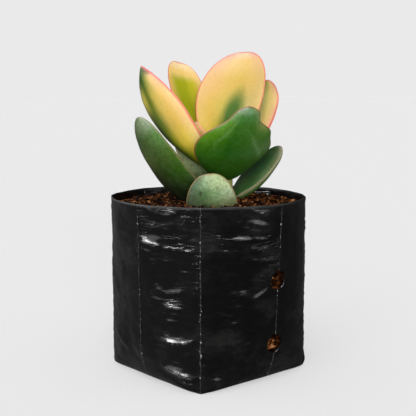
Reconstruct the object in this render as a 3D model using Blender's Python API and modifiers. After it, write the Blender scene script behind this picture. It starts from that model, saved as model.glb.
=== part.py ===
"""Variegated jade plant growing in a small black film grow bag.

The bag stands on its square base and holds the potting soil. The soil holds
the roots and the foot of the stem, and the leaves sit in pairs up the stem.
Origin: the middle of the base, on the surface the bag stands on. +Z is up and
-Y is the side of the low front leaf. Lengths are in metres, angles in degrees.
"""

import math
from dataclasses import dataclass

import bmesh
import bpy
from mathutils import Vector

MM = 0.001

# ---- driving dimensions ---------------------------------------------------
GAP = 0.3 * MM                   # clearance between pieces that touch

# bag
MOUTH_RADIUS = 42.0 * MM         # outside of the round mouth
BAG_HEIGHT = 75.0 * MM
BASE_SIDE = 60.0 * MM            # side of the flat square base
CORNER_RADIUS = 42.0 * MM        # from the axis to each vertical corner fold
TUCK_HEIGHT = 22.0 * MM          # the sides tuck under below this height
SWELL_RADIUS = 38.5 * MM         # middle of a side at the top of the tuck
FILM = 0.6 * MM                  # wall
BAG_TURN = -94.0                 # direction of the front corner fold

# drain holes punched through both layers of the flat bag
HOLE_DIAMETER = 8.0 * MM
HOLE_DIRECTION = -46.0
HOLE_HEIGHTS = (16.5 * MM, 43.5 * MM)

# soil
SOIL_DROP = 3.8 * MM             # rim of the bag down to the soil at the wall
SOIL_MOUND = 2.2 * MM            # rise from the wall to the plant
SOIL_LUMP = 0.35 * MM            # height of the lumps on top

# stem
STEM_FOOT_X = 2.6 * MM
STEM_BURIED = 30.0 * MM          # rim of the bag down to the stem's foot
STEM_FOOT_Z = BAG_HEIGHT - STEM_BURIED
STEM_HEIGHT = 50.0 * MM
STEM_LEAN = 10.6 * MM            # how far it leans to +X over its height
STEM_RETURN = 7.2 * MM           # how far its top curves back
STEM_RADIUS = 4.8 * MM
STEM_THINNING = 1.6 * MM         # radius lost by the tip

# roots
ROOT_COUNT = 5
ROOT_RADIUS = 1.5 * MM
ROOT_REACH = 17.0 * MM
ROOT_FLOOR = 12.5 * MM           # height of the lowest root tips
CROWN_RADIUS = 5.0 * MM

# mesh fineness
BAG_SEGMENTS = 64
SOIL_SEGMENTS = 32
LEAF_SEGMENTS = 16
LEAF_RINGS = 14
HOLE_SEGMENTS = 20


@dataclass(frozen=True)
class Leaf:
    """One fleshy leaf: where it joins the stem, how it leans, and its blade."""

    height: float                # of the joint, up from the stem's foot, mm
    azimuth: float
    elevation: float
    roll: float
    length: float                # along the midrib, mm
    width: float                 # mm
    thickness: float             # mm
    widest: float                # share of the length where it is widest
    neck: float                  # width at the stem, as a share of the width
    tip_power: float = 0.5       # 0.5 is an elliptical tip, more is pointed
    neck_power: float = 0.9
    bend: float = 0.0            # the midrib curls up by this angle
    cup: float = 0.1             # the margins rise by this share of the half width
    sweep: float = 0.0           # the midrib curves sideways
    twist: float = 0.0
    waves: tuple = ()            # (side, place, spread, share) of each margin wave
    color: tuple = (0.1, 0.2, 0.05)


DARK_GREEN = (0.045, 0.12, 0.03)
BLUE_GREEN = (0.05, 0.13, 0.06)
GREY_GREEN = (0.16, 0.22, 0.13)
PALE_MINT = (0.36, 0.46, 0.28)
LIME = (0.34, 0.34, 0.02)
CREAM = (0.85, 0.58, 0.24)
GOLD = (0.72, 0.48, 0.12)

LEAVES = {
    "leaf_low_left": Leaf(
        height=23.5, azimuth=206, elevation=34.5, roll=13.5, length=53, width=26,
        thickness=6, widest=0.50, neck=0.32, tip_power=0.47, neck_power=0.75,
        bend=34, cup=0.08, sweep=-0.02, twist=3, color=DARK_GREEN),
    "leaf_low_right": Leaf(
        height=29, azimuth=24, elevation=39, roll=-1, length=32, width=22,
        thickness=6, widest=0.51, neck=0.28, tip_power=0.53, neck_power=0.95,
        bend=8.5, cup=0.05, sweep=-0.01, twist=-1.5, color=BLUE_GREEN),
    "leaf_low_front": Leaf(
        height=9, azimuth=-97.5, elevation=46, roll=2, length=39.5, width=21.5,
        thickness=5.5, widest=0.54, neck=0.30, tip_power=0.45,
        bend=22, cup=0.11, twist=-11, color=PALE_MINT),
    "leaf_front": Leaf(
        height=37.5, azimuth=-68, elevation=50, roll=8.5, length=40, width=37,
        thickness=5, widest=0.45, neck=0.25, tip_power=0.77, neck_power=1.15,
        bend=4, cup=0.16, sweep=0.02, twist=14,
        waves=((1, 0.83, 0.19, -0.41), (-1, 0.81, 0.13, -0.44), (-1, 0.55, 0.15, -0.16)),
        color=DARK_GREEN),
    "leaf_low_back": Leaf(
        height=31, azimuth=134, elevation=50, roll=0, length=34, width=24,
        thickness=4.5, widest=0.58, neck=0.35, bend=10, color=GREY_GREEN),
    "leaf_upper_left": Leaf(
        height=42, azimuth=210, elevation=37.5, roll=12, length=55, width=26,
        thickness=5, widest=0.59, neck=0.25, tip_power=0.90, neck_power=1.30,
        bend=31, cup=0.05, twist=1, color=GOLD),
    "leaf_back_left": Leaf(
        height=39.5, azimuth=129, elevation=49, roll=16, length=55.5, width=25,
        thickness=3.6, widest=0.72, neck=0.25, tip_power=0.36,
        bend=23.5, cup=0.14, sweep=-0.06, twist=3, color=LIME),
    "leaf_back_tall": Leaf(
        height=46, azimuth=74, elevation=76.5, roll=-15, length=49.5, width=33,
        thickness=4.5, widest=0.55, neck=0.26, neck_power=0.95,
        bend=-15, cup=0.20, sweep=0.06, twist=-4, color=CREAM),
    "leaf_back_right": Leaf(
        height=39.5, azimuth=35, elevation=45.5, roll=-5.5, length=47, width=25,
        thickness=4.5, widest=0.70, neck=0.25, tip_power=0.66, neck_power=0.95,
        bend=31.5, cup=0.15, sweep=-0.04, twist=-6, color=CREAM),
    "bud_leaf_left": Leaf(
        height=49.5, azimuth=195, elevation=50, roll=0, length=15, width=9,
        thickness=3, widest=0.58, neck=0.45, bend=15, color=PALE_MINT),
    "bud_leaf_right": Leaf(
        height=49.5, azimuth=-28, elevation=62, roll=0, length=13, width=8,
        thickness=2.8, widest=0.58, neck=0.45, bend=10, color=PALE_MINT),
}
WAVY_LEAF_RINGS = 26             # a leaf with margin waves needs more rings


# ---- scene helpers --------------------------------------------------------
def clear_scene():
    """Remove every object of the scene."""
    for obj in list(bpy.data.objects):
        bpy.data.objects.remove(obj, do_unlink=True)


def new_collection(name):
    """Make a collection and link it to the scene."""
    collection = bpy.data.collections.new(name)
    bpy.context.scene.collection.children.link(collection)
    return collection


def principled(name, color, roughness):
    """Make a plain Principled material."""
    material = bpy.data.materials.new(name)
    material.use_nodes = True
    shader = material.node_tree.nodes["Principled BSDF"]
    shader.inputs["Base Color"].default_value = (*color, 1.0)
    shader.inputs["Roughness"].default_value = roughness
    shader.inputs["Metallic"].default_value = 0.0
    return material


def add_object(name, mesh_builder, collection, material=None):
    """Turn a bmesh into a smooth-shaded object and free the bmesh."""
    bmesh.ops.recalc_face_normals(mesh_builder, faces=mesh_builder.faces)
    mesh = bpy.data.meshes.new(name)
    mesh_builder.to_mesh(mesh)
    mesh_builder.free()
    mesh.shade_smooth()
    mesh.set_sharp_from_angle(angle=math.radians(40))
    if material:
        mesh.materials.append(material)
    obj = bpy.data.objects.new(name, mesh)
    collection.objects.link(obj)
    return obj


def add_cutter(name, mesh_builder, cutters):
    """Add a guide or cutter, drawn as wire and left out of the build."""
    obj = add_object(name, mesh_builder, cutters)
    obj.hide_render = True
    obj.display_type = 'WIRE'
    return obj


def boolean(obj, other, operation):
    """Add an exact Boolean modifier."""
    modifier = obj.modifiers.new(other.name, 'BOOLEAN')
    modifier.operation = operation
    modifier.object = other
    modifier.solver = 'EXACT'


def inflate(mesh_builder, distance):
    """Move every vertex out along its normal."""
    bmesh.ops.recalc_face_normals(mesh_builder, faces=mesh_builder.faces)
    mesh_builder.normal_update()
    for vertex in mesh_builder.verts:
        vertex.co += vertex.normal * distance


# ---- bag and soil ---------------------------------------------------------
def side_distance(height):
    """Distance from the axis to the middle of a side of the bag."""
    half_base = BASE_SIDE / 2
    if height < TUCK_HEIGHT:
        left = 1 - height / TUCK_HEIGHT
        return half_base + (SWELL_RADIUS - half_base) * math.sqrt(1 - left * left)
    rise = (height - TUCK_HEIGHT) / (BAG_HEIGHT - TUCK_HEIGHT)
    return SWELL_RADIUS + (MOUTH_RADIUS - SWELL_RADIUS) * rise


def corner_distance(height):
    """Distance from the axis to a corner fold of the bag."""
    return CORNER_RADIUS + (MOUTH_RADIUS - CORNER_RADIUS) * height / BAG_HEIGHT


def bag_section(height, inset, segments, scale=1.0):
    """Points of the bag's section at a height: a square whose corners round off upwards.

    The superellipse power is the one whose side and corner distances are the bag's.
    """
    side = side_distance(height) - inset
    sharpest = side * 1.39
    corner = min(corner_distance(height) - inset * 1.35, sharpest)
    power = 1 / (0.5 - math.log2(corner / side))
    points = []
    for i in range(segments):
        turn = 2 * math.pi * i / segments
        from_side = turn + math.pi / 4
        reach = (abs(math.cos(from_side) / side) ** power
                 + abs(math.sin(from_side) / side) ** power) ** (-1 / power)
        angle = math.radians(BAG_TURN) + turn
        points.append(Vector((reach * scale * math.cos(angle),
                              reach * scale * math.sin(angle), height)))
    return points


def add_ring(mesh_builder, points, previous):
    """Add a closed ring of vertices and join it to the ring before it."""
    ring = [mesh_builder.verts.new(point) for point in points]
    if previous:
        for i in range(len(ring)):
            after = (i + 1) % len(ring)
            mesh_builder.faces.new((previous[i], previous[after], ring[after], ring[i]))
    return ring


def close_ring(mesh_builder, ring, center):
    """Close a ring with a fan of triangles round a centre point."""
    middle = mesh_builder.verts.new(center)
    for i in range(len(ring)):
        mesh_builder.faces.new((ring[i], ring[(i + 1) % len(ring)], middle))


def wall_levels(top):
    """Heights of the section rings, closer together in the tuck."""
    tuck_shares = (0.0, 0.05, 0.14, 0.28, 0.46, 0.7, 1.0)
    levels = [TUCK_HEIGHT * share for share in tuck_shares]
    upper_count = 4
    for i in range(1, upper_count + 1):
        levels.append(TUCK_HEIGHT + (top - TUCK_HEIGHT) * i / upper_count)
    return levels


def drain_cutter(index, height, direction, cutters):
    """A cylinder that punches one drain hole through one wall of the bag."""
    wall = side_distance(height)
    shape = bmesh.new()
    bmesh.ops.create_cone(shape, cap_ends=True, segments=HOLE_SEGMENTS,
                          radius1=HOLE_DIAMETER / 2, radius2=HOLE_DIAMETER / 2,
                          depth=wall)
    cutter = add_cutter(f"drain_cutter_{index}", shape, cutters)
    angle = math.radians(direction)
    cutter.rotation_euler = (math.pi / 2, 0, angle + math.pi / 2)
    cutter.location = (wall * math.cos(angle), wall * math.sin(angle), height)
    return cutter


def build_bag(parts, cutters):
    """The film bag: floor, tucked sides and round mouth, with its drain holes."""
    shape = bmesh.new()
    floor_shares = (0.35, 0.7)
    ring = None
    inner = None
    for share in floor_shares:
        ring = add_ring(shape, bag_section(0.0, 0.0, BAG_SEGMENTS, share), ring)
        inner = inner or ring
    close_ring(shape, inner, Vector((0, 0, 0)))
    for level in wall_levels(BAG_HEIGHT):
        ring = add_ring(shape, bag_section(level, 0.0, BAG_SEGMENTS), ring)
    bag = add_object("grow_bag", shape, parts, principled("black_film", (0.012, 0.012, 0.013), 0.35))
    solidify = bag.modifiers.new("film", 'SOLIDIFY')
    solidify.thickness = FILM
    solidify.offset = -1.0
    solidify.use_even_offset = True
    index = 0
    for height in HOLE_HEIGHTS:
        for direction in (HOLE_DIRECTION, HOLE_DIRECTION + 180):
            index += 1
            boolean(bag, drain_cutter(index, height, direction, cutters), 'DIFFERENCE')
    return bag


def soil_surface(x, y):
    """Height of the soil's top: a low mound with a few lumps."""
    wall = MOUTH_RADIUS - FILM
    share = min(1.0, math.hypot(x, y) / wall)
    mound = SOIL_MOUND * math.cos(share * math.pi / 2)
    lump = SOIL_LUMP * math.sin(x / (5 * MM)) * math.cos(y / (4 * MM) + 1)
    return BAG_HEIGHT - SOIL_DROP + mound + lump * (1 - share)


def build_soil(parts, cutters, pocket_cutters):
    """The soil: the bag's inside less a small gap, mounded, with pockets for the plant."""
    inset = FILM + GAP
    shape = bmesh.new()
    ring = None
    for level in wall_levels(BAG_HEIGHT - SOIL_DROP - inset):
        points = bag_section(level, inset, SOIL_SEGMENTS)
        for point in points:
            point.z = level + inset
        if ring is None:
            ring = add_ring(shape, points, None)
            close_ring(shape, ring, Vector((0, 0, inset)))
            continue
        ring = add_ring(shape, points, ring)
    for share in (0.88, 0.7, 0.5, 0.3, 0.14):
        points = bag_section(BAG_HEIGHT, inset, SOIL_SEGMENTS, share)
        for point in points:
            point.z = soil_surface(point.x, point.y)
        ring = add_ring(shape, points, ring)
    close_ring(shape, ring, Vector((0, 0, soil_surface(0, 0))))
    soil = add_object("potting_soil", shape, parts, principled("coir_soil", (0.09, 0.035, 0.015), 0.95))
    for cutter in pocket_cutters:
        boolean(soil, cutter, 'DIFFERENCE')
    return soil


# ---- stem and roots -------------------------------------------------------
def stem_share(z):
    """Share of the stem's height at a world height."""
    return (z - STEM_FOOT_Z) / STEM_HEIGHT


def stem_axis(z):
    """X of the stem's middle at a world height; it stays in the plane Y = 0."""
    share = stem_share(z)
    return STEM_FOOT_X + STEM_LEAN * share - STEM_RETURN * share * share


def stem_radius(z):
    """Radius of the stem at a world height."""
    share = min(1.0, max(0.0, stem_share(z)))
    return STEM_RADIUS - STEM_THINNING * share ** 3


def stem_shape(extra=0.0):
    """A rounded column along the stem's axis, grown by extra."""
    rings = 14
    tip_share = 0.9
    shape = bmesh.new()
    bmesh.ops.create_uvsphere(shape, u_segments=20, v_segments=rings, radius=1)
    for vertex in shape.verts:
        share = 1 - math.acos(max(-1.0, min(1.0, vertex.co.z))) / math.pi
        z = STEM_FOOT_Z + STEM_HEIGHT * share
        round_off = 1.0
        if share > tip_share:
            round_off = math.sqrt(max(0.0, 1 - ((share - tip_share) / (1 - tip_share)) ** 2))
        around = Vector((vertex.co.x, vertex.co.y))
        if around.length > 0.001:
            around = around.normalized() * stem_radius(z) * round_off
        vertex.co = Vector((stem_axis(z) + around.x, around.y, z))
    if extra:
        inflate(shape, extra)
    return shape


def root_path(index, share):
    """A point on one root: it runs out and down, and wanders a little."""
    direction = 2 * math.pi * index / ROOT_COUNT + 0.5
    out = ROOT_REACH * math.sin(share * math.pi / 2)
    wander = 0.25 * math.sin(share * 5 + index * 1.7) * share
    crown_z = STEM_FOOT_Z - CROWN_RADIUS - GAP
    return Vector((STEM_FOOT_X + out * math.cos(direction + wander),
                   out * math.sin(direction + wander),
                   crown_z - (crown_z - ROOT_FLOOR) * share ** 1.4))


def root_shape(index, extra=0.0):
    """One tapered root."""
    rings = 9
    step = 0.01
    shape = bmesh.new()
    bmesh.ops.create_uvsphere(shape, u_segments=7, v_segments=rings, radius=1)
    for vertex in shape.verts:
        share = 1 - math.acos(max(-1.0, min(1.0, vertex.co.z))) / math.pi
        along = (root_path(index, share + step) - root_path(index, share)).normalized()
        across = along.cross(Vector((0, 0, 1))).normalized()
        upward = across.cross(along)
        around = Vector((vertex.co.x, vertex.co.y))
        if around.length > 0.001:
            around = around.normalized() * ROOT_RADIUS * (1 - 0.65 * share)
        vertex.co = root_path(index, share) + across * around.x + upward * around.y
    if extra:
        inflate(shape, extra)
    return shape


def crown_shape(extra=0.0):
    """The root crown: a squat knob just under the stem's foot."""
    shape = bmesh.new()
    bmesh.ops.create_uvsphere(shape, u_segments=16, v_segments=10, radius=CROWN_RADIUS + extra)
    bmesh.ops.translate(shape, verts=shape.verts,
                        vec=(STEM_FOOT_X, 0, STEM_FOOT_Z - CROWN_RADIUS - GAP))
    return shape


def build_roots(parts, cutters):
    """The roots: a crown with its roots joined on as one solid."""
    roots = add_object("roots", crown_shape(), parts, principled("root", (0.42, 0.30, 0.18), 0.8))
    for index in range(ROOT_COUNT):
        boolean(roots, add_cutter(f"root_{index}", root_shape(index), cutters), 'UNION')
    return roots


# ---- leaves ---------------------------------------------------------------
def leaf_outline(leaf, share):
    """Half width at a share of the length, as a share of the half width."""
    if share > leaf.widest:
        tip = (share - leaf.widest) / (1 - leaf.widest)
        width = max(0.0, 1 - tip * tip) ** leaf.tip_power
    else:
        neck = (leaf.widest - share) / leaf.widest
        width = leaf.neck + (1 - leaf.neck) * max(0.0, 1 - neck * neck) ** leaf.neck_power
    heel = 0.05
    if share < heel:
        width *= math.sqrt(max(0.0, 1 - (1 - share / heel) ** 2))
    return width


def leaf_axes(leaf):
    """Unit vectors along the leaf, out of its upper face, and across it."""
    azimuth = math.radians(leaf.azimuth)
    elevation = math.radians(leaf.elevation)
    along = Vector((math.cos(elevation) * math.cos(azimuth),
                    math.cos(elevation) * math.sin(azimuth), math.sin(elevation)))
    face = Vector((-math.sin(elevation) * math.cos(azimuth),
                   -math.sin(elevation) * math.sin(azimuth), math.cos(elevation)))
    across = along.cross(face)
    roll = math.radians(leaf.roll)
    rolled_face = face * math.cos(roll) + across * math.sin(roll)
    rolled_across = across * math.cos(roll) - face * math.sin(roll)
    return along, rolled_face, rolled_across


def leaf_point(leaf, share, side, up):
    """A point of the leaf's skin.

    share runs from heel to tip; side and up are the cosine and sine of the
    place round the section, from one margin over the upper face to the other.
    """
    half_width = leaf.width / 2 * leaf_outline(leaf, share)
    for wave_side, place, spread, depth in leaf.waves:
        swell = depth * math.exp(-((share - place) / spread) ** 2)
        half_width *= 1 + swell * max(0.0, min(1.0, wave_side * side))
    bulk = leaf.thickness / 2 * (1.15 - 0.45 * share)
    bulk *= math.sqrt(max(0.0, 1 - abs(2 * share - 1) ** 3))
    flatness = 0.55 if up > 0 else 1.45
    out = flatness * bulk * math.copysign(abs(up) ** 1.2, up)
    out += leaf.cup * half_width * side * side
    across = half_width * side
    twist = math.radians(leaf.twist) * share
    turned_across = across * math.cos(twist) - out * math.sin(twist)
    turned_out = across * math.sin(twist) + out * math.cos(twist)
    bend = math.radians(leaf.bend) or 1e-6
    angle = bend * share
    forward = leaf.length * math.sin(angle) / bend - turned_out * math.sin(angle)
    lift = leaf.length * (1 - math.cos(angle)) / bend + turned_out * math.cos(angle)
    sideways = turned_across + leaf.sweep * leaf.length * share * share
    along, face, wide = leaf_axes(leaf)
    return (along * forward + face * lift + wide * sideways) * MM


def leaf_shape(leaf, extra=0.0):
    """A sphere drawn out into the leaf, then slid out until it clears the stem."""
    shape = bmesh.new()
    rings = WAVY_LEAF_RINGS if leaf.waves else LEAF_RINGS
    bmesh.ops.create_uvsphere(shape, u_segments=LEAF_SEGMENTS, v_segments=rings, radius=1)
    joint_z = STEM_FOOT_Z + leaf.height * MM
    joint = Vector((stem_axis(joint_z), 0, joint_z))
    for vertex in shape.verts:
        share = min(1.0, max(0.0, (1 + vertex.co.z) / 2))
        reach = math.hypot(vertex.co.x, vertex.co.y)
        side = vertex.co.x / reach if reach > 0.001 else 0.0
        up = vertex.co.y / reach if reach > 0.001 else 0.0
        vertex.co = joint + leaf_point(leaf, share, side, up)
    bmesh.ops.translate(shape, verts=shape.verts, vec=stem_clearance(leaf, shape.verts))
    if extra:
        inflate(shape, extra)
    return shape


def stem_clearance(leaf, vertices):
    """How far to slide a leaf out along its azimuth so that it just clears the stem."""
    azimuth = math.radians(leaf.azimuth)
    out = Vector((math.cos(azimuth), math.sin(azimuth), 0))
    wide = Vector((-out.y, out.x, 0))
    slide = 0.0
    for vertex in vertices:
        if stem_share(vertex.co.z) > 1:
            continue
        offset = vertex.co - Vector((stem_axis(vertex.co.z), 0, vertex.co.z))
        keep_off = stem_radius(vertex.co.z) + GAP * 1.3
        beside = offset.dot(wide)
        if abs(beside) < keep_off:
            slide = max(slide, math.sqrt(keep_off ** 2 - beside ** 2) - offset.dot(out))
    return out * slide


def build_leaves(parts):
    """Every leaf as its own object."""
    for name, leaf in LEAVES.items():
        add_object(name, leaf_shape(leaf), parts, principled(name, leaf.color, 0.4))


def plant_pockets(cutters):
    """Slightly grown copies of all that may reach into the soil."""
    pockets = [add_cutter("stem_pocket", stem_shape(GAP), cutters),
               add_cutter("crown_pocket", crown_shape(GAP), cutters)]
    for index in range(ROOT_COUNT):
        pockets.append(add_cutter(f"root_pocket_{index}", root_shape(index, GAP), cutters))
    soil_top = BAG_HEIGHT - SOIL_DROP + SOIL_MOUND + SOIL_LUMP
    for name, leaf in LEAVES.items():
        shape = leaf_shape(leaf, GAP)
        if min(vertex.co.z for vertex in shape.verts) < soil_top:
            pockets.append(add_cutter(f"{name}_pocket", shape, cutters))
        else:
            shape.free()
    return pockets


def main():
    """Build the potted plant."""
    clear_scene()
    parts = new_collection("potted_jade_plant")
    cutters = new_collection("cutters")
    build_bag(parts, cutters)
    build_soil(parts, cutters, plant_pockets(cutters))
    add_object("stem", stem_shape(), parts, principled("stem", (0.30, 0.33, 0.12), 0.6))
    build_roots(parts, cutters)
    build_leaves(parts)


main()
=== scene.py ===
"""Young variegated jade plant growing in a black film grow bag, dressed for close views.

Lengths in the classes are in millimetres and directions in degrees round the upright axis;
the meshes are in metres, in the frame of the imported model.
"""

import logging
import math
import random
from dataclasses import dataclass, field
from enum import Enum

import bmesh
import bpy
from mathutils import Matrix, Vector, noise


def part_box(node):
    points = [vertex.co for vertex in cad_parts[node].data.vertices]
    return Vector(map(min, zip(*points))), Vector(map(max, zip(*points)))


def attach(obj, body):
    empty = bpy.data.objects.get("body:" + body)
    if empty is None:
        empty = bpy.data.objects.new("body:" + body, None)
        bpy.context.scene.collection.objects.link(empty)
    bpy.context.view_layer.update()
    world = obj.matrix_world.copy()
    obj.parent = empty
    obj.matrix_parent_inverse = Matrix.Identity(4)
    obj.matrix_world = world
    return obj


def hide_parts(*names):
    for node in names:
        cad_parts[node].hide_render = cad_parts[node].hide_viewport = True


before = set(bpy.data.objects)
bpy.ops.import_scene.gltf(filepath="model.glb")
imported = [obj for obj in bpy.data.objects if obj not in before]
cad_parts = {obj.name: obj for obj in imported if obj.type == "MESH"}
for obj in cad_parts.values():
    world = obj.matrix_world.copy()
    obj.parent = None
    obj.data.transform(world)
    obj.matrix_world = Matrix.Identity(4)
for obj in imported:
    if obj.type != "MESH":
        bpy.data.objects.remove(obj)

MM = 0.001
WELD = 0.00001                   # vertices closer than this, in metres, are one
NOISE_SEED = 11                  # without it the vector noise would follow the clock

logging.basicConfig(level=logging.INFO, format="%(message)s")
log = logging.getLogger("jade_plant")

Triple = tuple[float, float, float]
Color = Triple
Stops = tuple[tuple[float, Color], ...]
Socket = bpy.types.NodeSocket
Value = Socket | float | Color


class Slot(Enum):
    """The record's material slots."""

    FILM = "black_film"
    SOIL = "soil"
    STEM = "stem"
    ROOT = "root"
    GREEN = "leaf_green"
    PALE = "leaf_pale"
    VARIEGATED = "leaf_variegated"


class Node(Enum):
    """The frame's nodes, apart from the leaves."""

    BAG = "grow_bag"
    SOIL = "potting_soil"
    STEM = "stem"
    ROOTS = "roots"


# ---- materials --------------------------------------------------------------
class Graph:
    """A node tree with short calls for common nodes."""

    def __init__(self, tree: bpy.types.NodeTree) -> None:
        """Wrap a tree.

        Args:
            tree: Node tree of a material or a world.
        """
        self.tree = tree

    def node(self, kind: str, inputs: dict[str | int, Value] | None = None,
             **settings: str | bool) -> bpy.types.Node:
        """Add a node.

        Args:
            kind: Node type without its ShaderNode prefix.
            inputs: Values or sockets for its inputs, by name or index.
            settings: Attributes of the node.

        Returns:
            The new node.
        """
        made = self.tree.nodes.new("ShaderNode" + kind)
        for key, value in settings.items():
            setattr(made, key, value)
        for key, value in (inputs or {}).items():
            self.feed(made.inputs[key], value)
        return made

    def feed(self, socket: Socket, value: Value) -> None:
        """Link a socket to an input, or set the input's value.

        Args:
            socket: The input.
            value: A socket to link, or a number or colour.
        """
        if isinstance(value, Socket):
            self.tree.links.new(value, socket)
        elif isinstance(value, tuple) and len(value) == 3 and socket.type == "RGBA":
            socket.default_value = (*value, 1.0)
        else:
            socket.default_value = value

    def math(self, operation: str, first: Value, second: Value = 0.0, third: Value = 0.0) -> Socket:
        """Result of a Math node."""
        return self.node("Math", {0: first, 1: second, 2: third}, operation=operation).outputs[0]

    def add(self, first: Value, second: Value) -> Socket:
        """Sum of two values."""
        return self.math("ADD", first, second)

    def less(self, first: Value, second: Value) -> Socket:
        """The first value less the second."""
        return self.math("SUBTRACT", first, second)

    def times(self, first: Value, second: Value) -> Socket:
        """Product of two values."""
        return self.math("MULTIPLY", first, second)

    def most(self, *values: Value) -> Socket:
        """The greatest of some values.

        Args:
            values: Sockets or numbers.

        Returns:
            Socket of the greatest.
        """
        greatest, *others = values
        for value in others:
            greatest = self.math("MAXIMUM", greatest, value)
        return greatest

    def vector(self, x: Value, y: Value = 0.0, z: Value = 0.0) -> Socket:
        """Vector made of three values."""
        return self.node("CombineXYZ", {0: x, 1: y, 2: z}).outputs[0]

    def step(self, value: Value, start: float, end: float, low: float = 0.0, high: float = 1.0) -> Socket:
        """Smooth step of a value from low at start to high at end.

        Args:
            value: What is stepped.
            start: Value at which the step begins.
            end: Value at which it ends.
            low: Result at the start.
            high: Result at the end.

        Returns:
            Socket of the result.
        """
        made = self.node("MapRange", {"Value": value, "From Min": start, "From Max": end,
                                      "To Min": low, "To Max": high}, interpolation_type="SMOOTHSTEP")
        return made.outputs["Result"]


class Paint(Graph):
    """A material under construction, with patterns sized in millimetres."""

    def __init__(self, name: str) -> None:
        """Start a material with a Principled shader.

        Args:
            name: Name of the material.
        """
        self.material = bpy.data.materials.new(name)
        self.material.use_nodes = True
        super().__init__(self.material.node_tree)
        self.shader = self.tree.nodes["Principled BSDF"]

    def mix(self, share: Value, first: Value, second: Value, blend: str = "MIX") -> Socket:
        """Colour mixed from two by a share.

        Args:
            share: Share of the second colour.
            first: First colour.
            second: Second colour.
            blend: How the second is laid on the first.

        Returns:
            Socket of the mixed colour.
        """
        made = self.node("Mix", {0: share, 6: first, 7: second}, data_type="RGBA",
                         blend_type=blend, clamp_factor=True)
        return made.outputs[2]

    def ramp(self, value: Value, stops: Stops) -> Socket:
        """Colour from a ramp with linear steps.

        Args:
            value: Place on the ramp, from 0 to 1.
            stops: Places and colours of the stops.

        Returns:
            Socket of the colour.
        """
        made = self.node("ValToRGB", {"Fac": value})
        elements = made.color_ramp.elements
        while len(elements) < len(stops):
            elements.new(0.5)
        for element, (place, color) in zip(elements, stops):
            element.position = place
            element.color = (*color, 1.0)
        return made.outputs["Color"]

    def place(self, scale: Triple = (1.0, 1.0, 1.0)) -> Socket:
        """Object coordinates in millimetres, stretched by a scale.

        Args:
            scale: Stretch of the pattern along each axis.

        Returns:
            Socket of the coordinates.
        """
        at = self.node("TexCoord").outputs["Object"]
        made = self.node("Mapping", {"Vector": at, "Scale": tuple(s / MM for s in scale)})
        return made.outputs["Vector"]

    def attribute(self, name: str) -> bpy.types.NodeOutputs:
        """Separate the three numbers of a named vector attribute."""
        read = self.node("Attribute", attribute_name=name)
        return self.node("SeparateXYZ", {0: read.outputs["Vector"]}).outputs

    def number(self, name: str) -> Socket:
        """A named float attribute."""
        return self.node("Attribute", attribute_name=name).outputs["Fac"]

    def noise(self, place: Socket, size: float, detail: float = 3.0, rough: float = 0.55,
              distortion: float = 0.0) -> Socket:
        """Noise from 0 to 1 whose grain has about the given size.

        Args:
            place: Where the pattern is read, in millimetres.
            size: Size of the grain in millimetres.
            detail: Number of finer layers.
            rough: Strength of the finer layers.
            distortion: How far the pattern is bent.

        Returns:
            Socket of the noise.
        """
        made = self.node("TexNoise", {"Vector": place, "Scale": 1.0 / size, "Detail": detail,
                                      "Roughness": rough, "Distortion": distortion})
        return made.outputs["Fac"]

    def cells(self, place: Socket, size: float) -> Socket:
        """Distance from the middle of cells of about the given size."""
        return self.node("TexVoronoi", {"Vector": place, "Scale": 1.0 / size}).outputs["Distance"]

    def bump(self, height: Value, strength: float, depth: float, below: Socket | None = None) -> Socket:
        """Drive the shader's normal from a height.

        Args:
            height: Socket from 0 to 1.
            strength: Strength of the bump.
            depth: Depth in millimetres of a full step.
            below: Normal that the bump builds on.

        Returns:
            The bump's normal socket.
        """
        inputs = {"Height": height, "Strength": strength, "Distance": depth * MM}
        if below is not None:
            inputs["Normal"] = below
        made = self.node("Bump", inputs)
        self.feed(self.shader.inputs["Normal"], made.outputs["Normal"])
        return made.outputs["Normal"]

    def finish(self, color: Value, roughness: Value,
               **settings: float | tuple[float, ...]) -> bpy.types.Material:
        """Connect the colour and roughness and set the shader's plain numbers.

        Args:
            color: Colour or socket.
            roughness: Number or socket.
            settings: Shader inputs by name, with underscores for spaces.

        Returns:
            The finished material.
        """
        self.feed(self.shader.inputs["Base Color"], color)
        self.feed(self.shader.inputs["Roughness"], roughness)
        for name, value in settings.items():
            self.shader.inputs[name.replace("_", " ")].default_value = value
        return self.material


# ---- meshes -----------------------------------------------------------------
def keep(name: str, shape: bmesh.types.BMesh, material: bpy.types.Material,
         smooth: bool = True) -> bpy.types.Object:
    """Turn a bmesh into an object of the scene and free the bmesh.

    Args:
        name: Name of the piece.
        shape: The finished bmesh, in metres.
        material: Its material.
        smooth: Whether its faces shade smooth.

    Returns:
        The new object.
    """
    mesh = bpy.data.meshes.new(name)
    shape.to_mesh(mesh)
    shape.free()
    if smooth:
        mesh.shade_smooth()
    mesh.materials.append(material)
    piece = bpy.data.objects.new(name, mesh)
    bpy.context.scene.collection.objects.link(piece)
    return piece


def settle(piece: bpy.types.Object, slot: Slot, *nodes: str) -> None:
    """Ride a piece on the plant's body and hide the frame nodes that it stands for.

    Args:
        piece: The piece.
        slot: Its material slot; not used.
        nodes: Names of the nodes that it stands for.
    """
    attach(piece, "root")
    if nodes:
        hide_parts(*nodes)
    log.info("%s: %d faces", piece.name, len(piece.data.polygons))


def smoothstep(value: float, start: float, end: float) -> float:
    """Smooth step from 0 at start to 1 at end."""
    share = min(1.0, max(0.0, (value - start) / (end - start)))
    return share * share * (3 - 2 * share)


def turn_between(direction: float, other: float) -> float:
    """Signed turn in degrees from one direction to another, from -180 to 180."""
    return (other - direction + 180) % 360 - 180


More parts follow.
